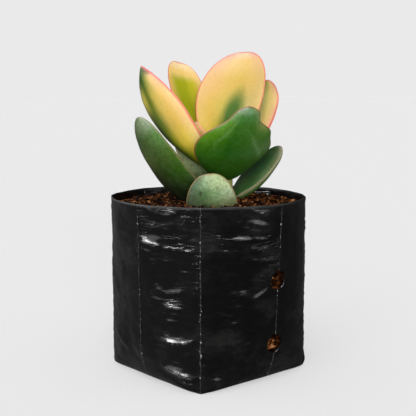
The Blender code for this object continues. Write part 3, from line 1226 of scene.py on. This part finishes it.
@dataclass(frozen=True)
class LeafFinish:
    """Colours of one blade from stem to tip, its margin, and the powdery bloom on it."""

    bands: tuple[Band, ...]
    patches: tuple[Patch, ...] = ()
    margin: Color = (0.45, 0.20, 0.12)
    margin_width: float = 0.45
    margin_amount: float = 0.8
    bloom: float = 0.03
    bloom_color: Color = (0.40, 0.50, 0.36)
    streak: float = 0.08
    mottle: float = 0.25
    dots: float = 0.04
    roughness: float = 0.42
    gloss: float = 0.11
    far_face: float = 0.0        # 1 or -1 for the face with the far colour
    far_color: Color = (0.20, 0.30, 0.10)

    def make(self, name: str) -> bpy.types.Material:
        """Build the material; it reads the blade and face attributes.

        Args:
            name: Name of the material.

        Returns:
            The material.
        """
        paint = Paint(name)
        side, share, edge = paint.attribute("blade")
        place = paint.place()
        drawn = paint.vector(paint.times(side, 7.0), paint.times(share, 4.0))
        streaks = paint.less(paint.noise(drawn, 1.0, 4.0, 0.6), 0.5)
        wisps = paint.less(paint.noise(place, 4.0, 5.0, 0.6), 0.5)
        bent_side = paint.add(side, paint.times(paint.add(streaks, wisps), self.streak * 2))
        bent_share = paint.add(share, paint.times(wisps, self.streak))
        color = self.banded(paint, bent_side, bent_share)
        for patch in self.patches:
            color = self.patched(paint, patch, bent_side, bent_share, color)
        if self.far_face:
            face = paint.times(paint.number("face"), self.far_face)
            color = paint.mix(paint.step(face, -0.1, 0.2, 0.0, 0.85), color, self.far_color)
        mottle = paint.noise(place, 1.3, 6.0, 0.7)
        shade = paint.step(mottle, 0.25, 0.75, 1 - self.mottle, 1 + self.mottle)
        color = paint.mix(1.0, color, paint.vector(shade, shade, shade), "MULTIPLY")
        powder = paint.noise(place, 2.8, 6.0, 0.7)
        color = paint.mix(paint.step(powder, 0.35, 0.8, 0.0, self.bloom * 2), color, self.bloom_color)
        dots = paint.step(paint.cells(place, 0.8), 0.08, 0.3, self.dots, 0.0)
        color = paint.mix(dots, color, self.bloom_color)
        ragged = paint.add(edge, paint.times(wisps, 0.35))
        rim = paint.step(ragged, self.margin_width * 0.4, self.margin_width * 1.3, self.margin_amount, 0.0)
        color = paint.mix(rim, color, self.margin)
        soft = paint.bump(paint.noise(place, 5.5, 3.0), 0.35, 0.5)
        paint.bump(paint.noise(place, 0.9, 5.0, 0.6), 0.25, 0.08, soft)
        rough = paint.add(self.roughness - 0.06, paint.times(powder, 0.16))
        return paint.finish(color, rough, Specular_IOR_Level=self.gloss, Subsurface_Weight=0.1,
                            Subsurface_Scale=0.002, Subsurface_Radius=(1.0, 0.8, 0.4))

    def banded(self, paint: Paint, side: Socket, share: Socket) -> Socket:
        """Colour across the blade, changing from band to band along it.

        Args:
            paint: The material under construction.
            side: Socket of the place across.
            share: Socket of the place along.

        Returns:
            Socket of the colour.
        """
        across = paint.math("MULTIPLY_ADD", side, 0.5, 0.5)
        color = paint.ramp(across, self.bands[0].stops)
        for before, after in zip(self.bands, self.bands[1:]):
            color = paint.mix(paint.step(share, before.share, after.share), color,
                              paint.ramp(across, after.stops))
        return color

    def patched(self, paint: Paint, patch: Patch, side: Socket, share: Socket, color: Socket) -> Socket:
        """A colour with one soft patch laid over it.

        Args:
            paint: The material under construction.
            patch: The patch.
            side: Socket of the place across.
            share: Socket of the place along.
            color: Colour under it.

        Returns:
            Socket of the colour.
        """
        up = paint.less(share, patch.share)
        off = paint.less(side, paint.math("MULTIPLY_ADD", up, patch.lean, patch.side))
        x = paint.math("DIVIDE", off, patch.half_side)
        y = paint.math("DIVIDE", up, patch.half_share)
        away = paint.math("SQRT", paint.add(paint.times(x, x), paint.times(y, y)))
        cover = paint.step(away, 1 - patch.soft, 1 + patch.soft, patch.amount, 0.0)
        return paint.mix(cover, color, patch.color)


@dataclass
class Leaf:
    """One fleshy blade, drawn out of a sphere along a curved midrib."""

    node: str
    slot: Slot
    finish: LeafFinish
    azimuth: float
    elevation: float
    roll: float
    length: float
    width: float
    thickness: float
    widest: float
    neck: float
    tip_power: float = 0.5
    neck_power: float = 0.9
    bend: float = 0.0
    cup: float = 0.1
    sweep: float = 0.0
    twist: float = 0.0
    waves: tuple[tuple[float, float, float, float], ...] = ()
    ripple: float = 0.25
    segments: int = 84
    rings: int = 120

    def outline(self, share: float) -> float:
        """Half width at a share of the length, as a share of the half width.

        Args:
            share: Place along the length, from 0 to 1.

        Returns:
            The share, from 0 to 1.
        """
        if share > self.widest:
            tip = (share - self.widest) / (1 - self.widest)
            width = max(0.0, 1 - tip * tip) ** self.tip_power
        else:
            neck = (self.widest - share) / self.widest
            width = self.neck + (1 - self.neck) * max(0.0, 1 - neck * neck) ** self.neck_power
        heel = 0.05
        if share < heel:
            width *= math.sqrt(max(0.0, 1 - (1 - share / heel) ** 2))
        return width

    def axes(self) -> tuple[Vector, Vector, Vector]:
        """Unit vectors along the leaf, out of its upper face, and across it.

        Returns:
            The three vectors.
        """
        elevation = math.radians(self.elevation)
        along = around(self.azimuth, math.cos(elevation), math.sin(elevation))
        face = around(self.azimuth, -math.sin(elevation), math.cos(elevation))
        across = along.cross(face)
        roll = math.radians(self.roll)
        return (along, face * math.cos(roll) + across * math.sin(roll),
                across * math.cos(roll) - face * math.sin(roll))

    def half_width(self, share: float, side: float) -> float:
        """Half width in millimetres, with the margin's waves.

        Args:
            share: Place along the length, from 0 to 1.
            side: Place across, from -1 to 1.

        Returns:
            The half width.
        """
        half = self.width / 2 * self.outline(share)
        for wave_side, place, spread, depth in self.waves:
            swell = depth * math.exp(-((share - place) / spread) ** 2)
            half *= 1 + swell * max(0.0, min(1.0, wave_side * side))
        return half

    def point(self, share: float, side: float, up: float) -> Vector:
        """A point of the skin, from the leaf's joint.

        Args:
            share: Place from heel to tip.
            side: Cosine of the place round the section.
            up: Sine of the place round the section.

        Returns:
            The point in metres.
        """
        half = self.half_width(share, side)
        bulk = self.thickness / 2 * (1.15 - 0.45 * share)
        bulk *= math.sqrt(max(0.0, 1 - abs(2 * share - 1) ** 3))
        out = (0.55 if up > 0 else 1.45) * bulk * math.copysign(abs(up) ** 1.2, up)
        out += self.cup * half * side * side
        grain = Vector((side * half, share * self.length, self.azimuth))
        out += self.ripple * noise.noise(grain / 9.0) * (1 - abs(2 * share - 1) ** 4)
        rim = Vector((share * self.length / 5, side, self.azimuth))
        out += self.ripple * 0.8 * abs(side) ** 6 * noise.noise(rim)
        across = half * side
        twist = math.radians(self.twist) * share
        turned_across = across * math.cos(twist) - out * math.sin(twist)
        turned_out = across * math.sin(twist) + out * math.cos(twist)
        bend = math.radians(self.bend) or 1e-6
        angle = bend * share
        forward = self.length * math.sin(angle) / bend - turned_out * math.sin(angle)
        lift = self.length * (1 - math.cos(angle)) / bend + turned_out * math.cos(angle)
        sideways = turned_across + self.sweep * self.length * share * share
        along, face, wide = self.axes()
        return (along * forward + face * lift + wide * sideways) * MM

    def build(self) -> bpy.types.Object:
        """Make the blade and centre it on its node's box.

        Returns:
            The blade.
        """
        shape = bmesh.new()
        bmesh.ops.create_uvsphere(shape, u_segments=self.segments, v_segments=self.rings, radius=1)
        blade = shape.verts.layers.float_vector.new("blade")
        face = shape.verts.layers.float.new("face")
        for vertex in shape.verts:
            share = min(1.0, max(0.0, (1 + vertex.co.z) / 2))
            reach = math.hypot(vertex.co.x, vertex.co.y)
            side = vertex.co.x / reach if reach > 0.001 else 0.0
            up = vertex.co.y / reach if reach > 0.001 else 0.0
            edge = min(self.half_width(share, side) * (1 - abs(side)), (1 - share) * self.length)
            vertex[blade] = Vector((side, share, edge))
            vertex[face] = up
            vertex.co = self.point(share, side, up)
        low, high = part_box(self.node)
        corners = [[function(vertex.co[axis] for vertex in shape.verts) for axis in range(3)]
                   for function in (min, max)]
        shift = (low + high) / 2 - (Vector(corners[0]) + Vector(corners[1])) / 2
        bmesh.ops.translate(shape, verts=shape.verts, vec=shift)
        bmesh.ops.recalc_face_normals(shape, faces=shape.faces)
        leaf = keep(f"{self.node}_blade", shape, self.finish.make(f"{self.node}_skin"))
        settle(leaf, self.slot, self.node)
        return leaf


def band(share: float, *colors: Color) -> Band:
    """Band with its colours spread evenly from close to one margin to close to the other."""
    step = 0.94 / (len(colors) - 1)
    return Band(share, tuple((0.03 + index * step, color) for index, color in enumerate(colors)))


class Tint:
    """Colours that several blades share."""

    # DARK is also painted shade at the base of the low left blade
    DARK: Color = (0.010, 0.018, 0.005)
    FOREST: Color = (0.028, 0.115, 0.006)
    OLIVE: Color = (0.31, 0.35, 0.002)
    CREAM: Color = (0.95, 0.66, 0.24)
    PINK: Color = (0.74, 0.09, 0.12)
    ROSE: Color = (0.86, 0.36, 0.30)
    TAN: Color = (0.36, 0.30, 0.16)
    SAGE: Color = (0.14, 0.20, 0.08)
    MINT: Color = (0.43, 0.54, 0.29)


LOW_LEFT_FINISH = LeafFinish(
    bands=(
        # the band near the stem is darker than the rest: partly the blade's dark green, partly painted
        # shade where the blade meets the stem
        band(0.32, (0.012, 0.025, 0.005), Tint.DARK, (0.010, 0.015, 0.005)),
        band(0.50, (0.03, 0.09, 0.005), (0.02, 0.05, 0.005), (0.035, 0.045, 0.012), (0.05, 0.06, 0.02)),
        band(0.66, (0.05, 0.11, 0.01), (0.04, 0.08, 0.01), (0.07, 0.10, 0.02), (0.04, 0.06, 0.015)),
        band(0.82, (0.08, 0.18, 0.04), (0.05, 0.10, 0.016), (0.05, 0.09, 0.02), (0.04, 0.06, 0.02)),
        band(0.96, (0.29, 0.35, 0.23), (0.18, 0.25, 0.13), (0.13, 0.19, 0.08), (0.09, 0.13, 0.05)),
    ),
    margin=(0.20, 0.16, 0.08), margin_amount=0.5, bloom=0.03, mottle=0.3, far_face=1, far_color=Tint.SAGE)
LOW_RIGHT_FINISH = LeafFinish(
    bands=(
        band(0.2, (0.05, 0.10, 0.03), (0.04, 0.10, 0.02), (0.04, 0.13, 0.03)),
        band(0.5, (0.02, 0.05, 0.01), (0.01, 0.05, 0.006), (0.01, 0.06, 0.01), (0.03, 0.11, 0.03),
             (0.16, 0.27, 0.11)),
        band(0.7, (0.02, 0.05, 0.01), (0.01, 0.05, 0.006), (0.01, 0.05, 0.01), (0.02, 0.09, 0.02),
             (0.14, 0.19, 0.08)),
        band(0.9, (0.02, 0.06, 0.01), (0.02, 0.07, 0.01), (0.02, 0.07, 0.01), (0.07, 0.12, 0.05),
             (0.24, 0.26, 0.18)),
        band(0.98, (0.03, 0.09, 0.02), (0.03, 0.09, 0.03), (0.15, 0.20, 0.11), (0.34, 0.34, 0.29)),
    ),
    margin=(0.30, 0.27, 0.17), margin_width=0.6, bloom=0.02, far_face=-1, far_color=(0.09, 0.20, 0.035))
LOW_FRONT_FINISH = LeafFinish(
    bands=(
        band(0.62, (0.20, 0.24, 0.10), (0.12, 0.14, 0.05), (0.05, 0.06, 0.02), (0.05, 0.06, 0.03)),
        band(0.80, (0.47, 0.56, 0.34), (0.26, 0.40, 0.18), (0.09, 0.19, 0.06), (0.10, 0.14, 0.08)),
        band(0.90, (0.43, 0.50, 0.27), (0.42, 0.54, 0.27), (0.25, 0.38, 0.20), (0.09, 0.16, 0.09)),
        band(0.97, (0.32, 0.42, 0.19), (0.43, 0.52, 0.29), (0.36, 0.45, 0.26), (0.06, 0.10, 0.03)),
    ),
    patches=(Patch(0.47, 0.80, 0.07, 0.03, (0.03, 0.02, 0.012), 0.7, 0.5),
             Patch(-0.30, 0.86, 0.07, 0.02, (0.10, 0.14, 0.05), 0.6, 0.6)),
    margin=(0.30, 0.22, 0.10), margin_width=0.5, bloom=0.08, mottle=0.35, dots=0.15,
    far_face=1, far_color=Tint.MINT)
FRONT_FINISH = LeafFinish(
    bands=(
        band(0.30, (0.03, 0.10, 0.006), (0.02, 0.08, 0.003), (0.015, 0.07, 0.002)),
        band(0.45, (0.09, 0.16, 0.05), (0.04, 0.12, 0.02), (0.012, 0.08, 0.002), (0.03, 0.11, 0.002)),
        band(0.62, (0.05, 0.14, 0.012), (0.04, 0.12, 0.01), (0.015, 0.09, 0.002), (0.065, 0.18, 0.002)),
        band(0.78, (0.19, 0.23, 0.06), (0.035, 0.12, 0.008), (0.03, 0.12, 0.006), (0.10, 0.24, 0.02)),
        band(0.88, (0.16, 0.22, 0.07), (0.05, 0.15, 0.03), (0.04, 0.15, 0.02), (0.18, 0.31, 0.12)),
        band(0.98, (0.18, 0.22, 0.08), (0.11, 0.24, 0.10), (0.20, 0.30, 0.17), (0.32, 0.36, 0.27)),
    ),
    patches=(Patch(-0.42, 0.50, 0.07, 0.17, (0.12, 0.23, 0.08), 0.45, 0.8, 1.3),
             Patch(0.55, 0.70, 0.06, 0.16, (0.10, 0.22, 0.05), 0.5, 0.8, -0.5)),
    margin=(0.26, 0.10, 0.04), margin_width=0.4, bloom=0.015, dots=0.02, mottle=0.22,
    far_face=1, far_color=Tint.FOREST)
LOW_BACK_FINISH = LeafFinish(
    bands=(
        band(0.2, (0.12, 0.16, 0.06), (0.16, 0.24, 0.10)),
        band(0.4, (0.30, 0.36, 0.18), (0.26, 0.36, 0.17), (0.22, 0.33, 0.14)),
        band(0.7, (0.22, 0.28, 0.12), (0.20, 0.28, 0.12)),
    ),
    margin=Tint.TAN, bloom=0.06, mottle=0.4, dots=0.1)
UPPER_LEFT_FINISH = LeafFinish(
    bands=(
        band(0.20, (0.80, 0.60, 0.15), (0.70, 0.55, 0.03), (0.35, 0.38, 0.01), (0.06, 0.12, 0.004),
             (0.02, 0.07, 0.006), (0.06, 0.10, 0.02)),
        band(0.36, (0.95, 0.69, 0.26), (0.97, 0.70, 0.10), (0.97, 0.73, 0.08), (0.42, 0.48, 0.01),
             (0.018, 0.075, 0.002), (0.14, 0.18, 0.05)),
        band(0.56, (0.88, 0.58, 0.25), (0.86, 0.56, 0.12), (0.84, 0.60, 0.13), (0.22, 0.32, 0.04),
             (0.12, 0.17, 0.02), (0.32, 0.31, 0.11)),
        band(0.74, (0.91, 0.60, 0.28), (0.81, 0.54, 0.14), (0.65, 0.49, 0.09), (0.10, 0.16, 0.005),
             (0.62, 0.50, 0.08), (0.35, 0.38, 0.12)),
        band(0.90, (0.92, 0.48, 0.31), (0.80, 0.56, 0.22), (0.34, 0.34, 0.06), (0.06, 0.13, 0.02),
             (0.045, 0.10, 0.006), (0.28, 0.36, 0.24)),
        band(0.97, (0.20, 0.12, 0.07), (0.11, 0.19, 0.08), (0.10, 0.19, 0.07)),
    ),
    margin=(0.78, 0.11, 0.13), margin_width=0.5, margin_amount=0.75, bloom=0.01, streak=0.05,
    mottle=0.06, dots=0.01)
BACK_LEFT_FINISH = LeafFinish(
    bands=(
        band(0.60, (0.68, 0.44, 0.11), Tint.OLIVE, Tint.OLIVE, (0.46, 0.41, 0.04), (0.90, 0.54, 0.23)),
        band(0.82, (0.78, 0.54, 0.14), (0.36, 0.39, 0.005), (0.38, 0.41, 0.005), (0.56, 0.50, 0.02),
             (0.88, 0.60, 0.22)),
        band(0.91, (0.90, 0.61, 0.22), (0.88, 0.62, 0.17), (0.95, 0.65, 0.28)),
        band(0.98, (0.99, 0.73, 0.42), (0.99, 0.75, 0.42), (0.98, 0.68, 0.38)),
    ),
    margin=Tint.PINK, margin_width=0.6, margin_amount=0.7, bloom=0.005, streak=0.05, mottle=0.05,
    dots=0.01)
BACK_TALL_FINISH = LeafFinish(
    bands=(
        band(0.25, (0.80, 0.56, 0.15), (0.68, 0.48, 0.06), (0.24, 0.27, 0.01), (0.14, 0.2, 0.02),
             (0.5, 0.4, 0.1), (0.7, 0.5, 0.2)),
        band(0.42, (0.75, 0.50, 0.17), (0.66, 0.45, 0.08), (0.55, 0.45, 0.08), (0.38, 0.38, 0.08),
             (0.56, 0.44, 0.15), (0.75, 0.53, 0.20)),
        band(0.70, (0.74, 0.48, 0.22), (0.71, 0.45, 0.16), (0.67, 0.44, 0.10), (0.64, 0.43, 0.08),
             (0.67, 0.44, 0.11), (0.64, 0.45, 0.15)),
        band(0.90, (0.76, 0.46, 0.30), (0.76, 0.54, 0.24), (0.75, 0.50, 0.16), (0.76, 0.46, 0.24)),
        band(0.97, (0.68, 0.36, 0.30), (0.77, 0.55, 0.36), (0.80, 0.60, 0.36), (0.74, 0.32, 0.28)),
    ),
    patches=(Patch(0.08, 0.38, 0.28, 0.20, (0.06, 0.15, 0.01), 1.0, 0.6, 0.5),),
    margin=Tint.PINK, margin_width=0.65, margin_amount=0.7, bloom=0.005, streak=0.05, mottle=0.05,
    dots=0.01, gloss=0.03)
BACK_RIGHT_FINISH = LeafFinish(
    bands=(
        band(0.5, (0.10, 0.14, 0.03), (0.12, 0.18, 0.04), (0.50, 0.52, 0.20), (0.99, 0.82, 0.30),
             (0.97, 0.58, 0.34)),
        band(0.82, (0.10, 0.14, 0.03), (0.12, 0.18, 0.04), (0.55, 0.60, 0.20), (0.99, 0.84, 0.32),
             (0.99, 0.68, 0.36)),
        band(0.97, (0.10, 0.14, 0.03), (0.12, 0.18, 0.04), (0.34, 0.38, 0.09), (0.80, 0.62, 0.24),
             (0.94, 0.42, 0.38)),
    ),
    margin=Tint.PINK, margin_width=0.8, margin_amount=0.75, bloom=0.005, streak=0.06, mottle=0.06,
    dots=0.01, gloss=0.03)
BUD_FINISH = LeafFinish(
    bands=(
        band(0.2, (0.5, 0.48, 0.06), Tint.MINT, (0.5, 0.48, 0.06)),
        band(0.9, Tint.CREAM, Tint.MINT, Tint.CREAM),
    ),
    margin=Tint.ROSE, bloom=0.03)


class JadePlant:
    """The plant's leaves, in their places up the stem."""

    def leaves(self) -> tuple[Leaf, ...]:
        """The eleven leaves with their shapes and finishes.

        Returns:
            The leaves, from the soil up.
        """
        return (
            Leaf("leaf_low_left", Slot.GREEN, LOW_LEFT_FINISH,
                 azimuth=206, elevation=34.5, roll=13.5, length=53, width=26, thickness=6, widest=0.50,
                 neck=0.32, tip_power=0.47, neck_power=0.75, bend=34, cup=0.08, sweep=-0.02, twist=3),
            Leaf("leaf_low_right", Slot.GREEN, LOW_RIGHT_FINISH,
                 azimuth=24, elevation=39, roll=-1, length=32, width=22, thickness=6, widest=0.51,
                 neck=0.28, tip_power=0.53, neck_power=0.95, bend=8.5, cup=0.05, sweep=-0.01, twist=-1.5),
            Leaf("leaf_low_front", Slot.PALE, LOW_FRONT_FINISH,
                 azimuth=-97.5, elevation=46, roll=2, length=39.5, width=21.5, thickness=5.5, widest=0.54,
                 neck=0.30, tip_power=0.45, bend=22, cup=0.11, twist=-11),
            Leaf("leaf_front", Slot.GREEN, FRONT_FINISH,
                 azimuth=-68, elevation=50, roll=8.5, length=40, width=37, thickness=5, widest=0.45,
                 neck=0.25, tip_power=0.77, neck_power=1.15, bend=4, cup=0.16, sweep=0.02, twist=14,
                 waves=((1, 0.83, 0.19, -0.41), (-1, 0.81, 0.13, -0.44), (-1, 0.55, 0.15, -0.16)),
                 segments=110, rings=160),
            Leaf("leaf_low_back", Slot.PALE, LOW_BACK_FINISH,
                 azimuth=134, elevation=50, roll=0, length=34, width=24, thickness=4.5, widest=0.58,
                 neck=0.35, bend=10),
            Leaf("leaf_upper_left", Slot.VARIEGATED, UPPER_LEFT_FINISH,
                 azimuth=210, elevation=37.5, roll=12, length=55, width=26, thickness=5, widest=0.59,
                 neck=0.25, tip_power=0.90, neck_power=1.30, bend=31, cup=0.05, twist=1),
            Leaf("leaf_back_left", Slot.VARIEGATED, BACK_LEFT_FINISH,
                 azimuth=129, elevation=49, roll=16, length=55.5, width=25, thickness=3.6, widest=0.72,
                 neck=0.25, tip_power=0.36, bend=23.5, cup=0.14, sweep=-0.06, twist=3),
            Leaf("leaf_back_tall", Slot.VARIEGATED, BACK_TALL_FINISH,
                 azimuth=74, elevation=76.5, roll=-15, length=49.5, width=33, thickness=4.5, widest=0.55,
                 neck=0.26, neck_power=0.95, bend=-15, cup=0.20, sweep=0.06, twist=-4),
            Leaf("leaf_back_right", Slot.VARIEGATED, BACK_RIGHT_FINISH,
                 azimuth=35, elevation=45.5, roll=-5.5, length=47, width=25, thickness=4.5, widest=0.70,
                 neck=0.25, tip_power=0.66, neck_power=0.95, bend=31.5, cup=0.15, sweep=-0.04, twist=-6),
            Leaf("bud_leaf_left", Slot.PALE, BUD_FINISH,
                 azimuth=195, elevation=50, roll=0, length=15, width=9, thickness=3, widest=0.58, neck=0.45,
                 bend=15, segments=48, rings=60),
            Leaf("bud_leaf_right", Slot.PALE, BUD_FINISH,
                 azimuth=-28, elevation=62, roll=0, length=13, width=8, thickness=2.8, widest=0.58,
                 neck=0.45, bend=10, segments=48, rings=60),
        )

    def build(self) -> list[bpy.types.Object]:
        """Build every leaf."""
        return [leaf.build() for leaf in self.leaves()]


# ---- studio -----------------------------------------------------------------
@dataclass(frozen=True)
class Light:
    """A distant soft light: where it is seen, its strength, and how wide it looks, in degrees."""

    name: str
    direction: float
    elevation: float
    strength: float
    spread: float
    diffuse: bool = True
    gloss: bool = True


@dataclass
class Studio:
    """Pale floor and surround, soft lights and the camera."""

    pale: float = 0.823          # brightness of the surround and floor as seen
    ambient: float = 0.40        # brightness of the surround as it lights matt surfaces
    mirrored_left: float = 0.13  # brightness of the surround's left side as gloss mirrors it
    mirrored_right: float = 0.05
    mirrored_turn: tuple[float, float] = (-0.6, 0.5)   # where the one side passes into the other
    floor_size: float = 40.0     # half its side, in metres
    floor_albedo: float = 0.98
    floor_glow: float = 0.55     # share of the floor's brightness that no shadow takes away
    lens: float = 75.57          # focal length, for a sensor 36 mm wide
    camera_place: Triple = (0.0, -0.3773, 0.119)
    camera_tilt: float = 82.52   # degrees up from straight down
    lights: tuple[Light, ...] = (
        Light("umbrella", -108, 38, 0.85, 56, gloss=False),
        Light("overhead", -90, 78, 0.6, 60, gloss=False),
        Light("front_fill", -85, 7, 2.1, 30, gloss=False),
        Light("front_sheen", -92, 40, 0.25, 40, diffuse=False),
        Light("left_high_strip", -136, 46, 3.6, 24, diffuse=False),
        Light("left_far_strip", -168, 42, 4.0, 24, diffuse=False),
        Light("left_rear_strip", -196, 40, 1.6, 26, diffuse=False),
        Light("left_soft", -154, 20, 0.36, 32, diffuse=False),
        Light("right_high_strip", -44, 40, 2.0, 24, diffuse=False),
        Light("right_soft", -30, 20, 0.60, 32, diffuse=False),
    )

    def build(self) -> None:
        """Set up everything round the plant."""
        self.floor()
        self.surround()
        for light in self.lights:
            self.sun(light)
        self.camera()

    def floor(self) -> None:
        """A wide pale floor."""
        shape = bmesh.new()
        bmesh.ops.create_grid(shape, x_segments=2, y_segments=2, size=self.floor_size)
        paint = Paint("studio_floor")
        grey = (self.floor_albedo * (1 - self.floor_glow),) * 3
        glow = {"Emission_Color": (1.0, 1.0, 1.0, 1.0), "Emission_Strength": self.pale * self.floor_glow}
        material = paint.finish(grey, 0.9, Specular_IOR_Level=0.0, **glow)
        floor = keep("studio_floor", shape, material, smooth=False)
        floor.visible_glossy = False

    def surround(self) -> None:
        """A pale surround that lights the plant more weakly than it looks."""
        world = bpy.data.worlds.new("studio")
        world.use_nodes = True
        bpy.context.scene.world = world
        graph = Graph(world.node_tree)
        background = graph.tree.nodes["Background"]
        background.inputs["Color"].default_value = (1.0, 1.0, 1.0, 1.0)
        axes = graph.node("SeparateXYZ", {0: graph.node("TexCoord").outputs["Generated"]})
        start, end = self.mirrored_turn
        mirrored = graph.node("MapRange", {"Value": axes.outputs["X"], "From Min": start, "From Max": end,
                                           "To Min": self.mirrored_left, "To Max": self.mirrored_right})
        rays = graph.node("LightPath").outputs
        level = self.ambient
        for ray, other in (("Is Glossy Ray", mirrored.outputs["Result"]), ("Is Camera Ray", self.pale)):
            chosen = graph.node("Mix", {"Factor": rays[ray], "A": level, "B": other})
            level = chosen.outputs["Result"]
        graph.feed(background.inputs["Strength"], level)

    def sun(self, light: Light) -> None:
        """Hang one distant soft light.

        Args:
            light: Its name, place and strength.
        """
        data = bpy.data.lights.new(light.name, "SUN")
        data.energy = light.strength
        data.angle = math.radians(light.spread)
        lamp = bpy.data.objects.new(light.name, data)
        rise = math.radians(light.elevation)
        towards = around(light.direction, math.cos(rise), math.sin(rise))
        lamp.rotation_euler = towards.to_track_quat("Z", "Y").to_euler()
        lamp.visible_diffuse = light.diffuse
        lamp.visible_glossy = light.gloss
        bpy.context.scene.collection.objects.link(lamp)

    def camera(self) -> None:
        """The camera in front of the plant, looking slightly down."""
        data = bpy.data.cameras.new("camera")
        data.lens = self.lens
        data.sensor_width = 36.0
        data.clip_start = 0.01
        camera = bpy.data.objects.new("camera", data)
        camera.location = self.camera_place
        camera.rotation_euler = (math.radians(self.camera_tilt), 0.0, 0.0)
        scene = bpy.context.scene
        scene.collection.objects.link(camera)
        scene.camera = camera
        scene.view_settings.view_transform = "Standard"


def main() -> None:
    """Build the plant's pieces in order."""
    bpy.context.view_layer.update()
    noise.seed_set(NOISE_SEED)
    bag = GrowBag()
    bag.build()
    PottingSoil(bag).build()
    Stem().build()
    dress_roots()
    JadePlant().build()
    Studio().build()


if __name__ == "__main__":
    main()
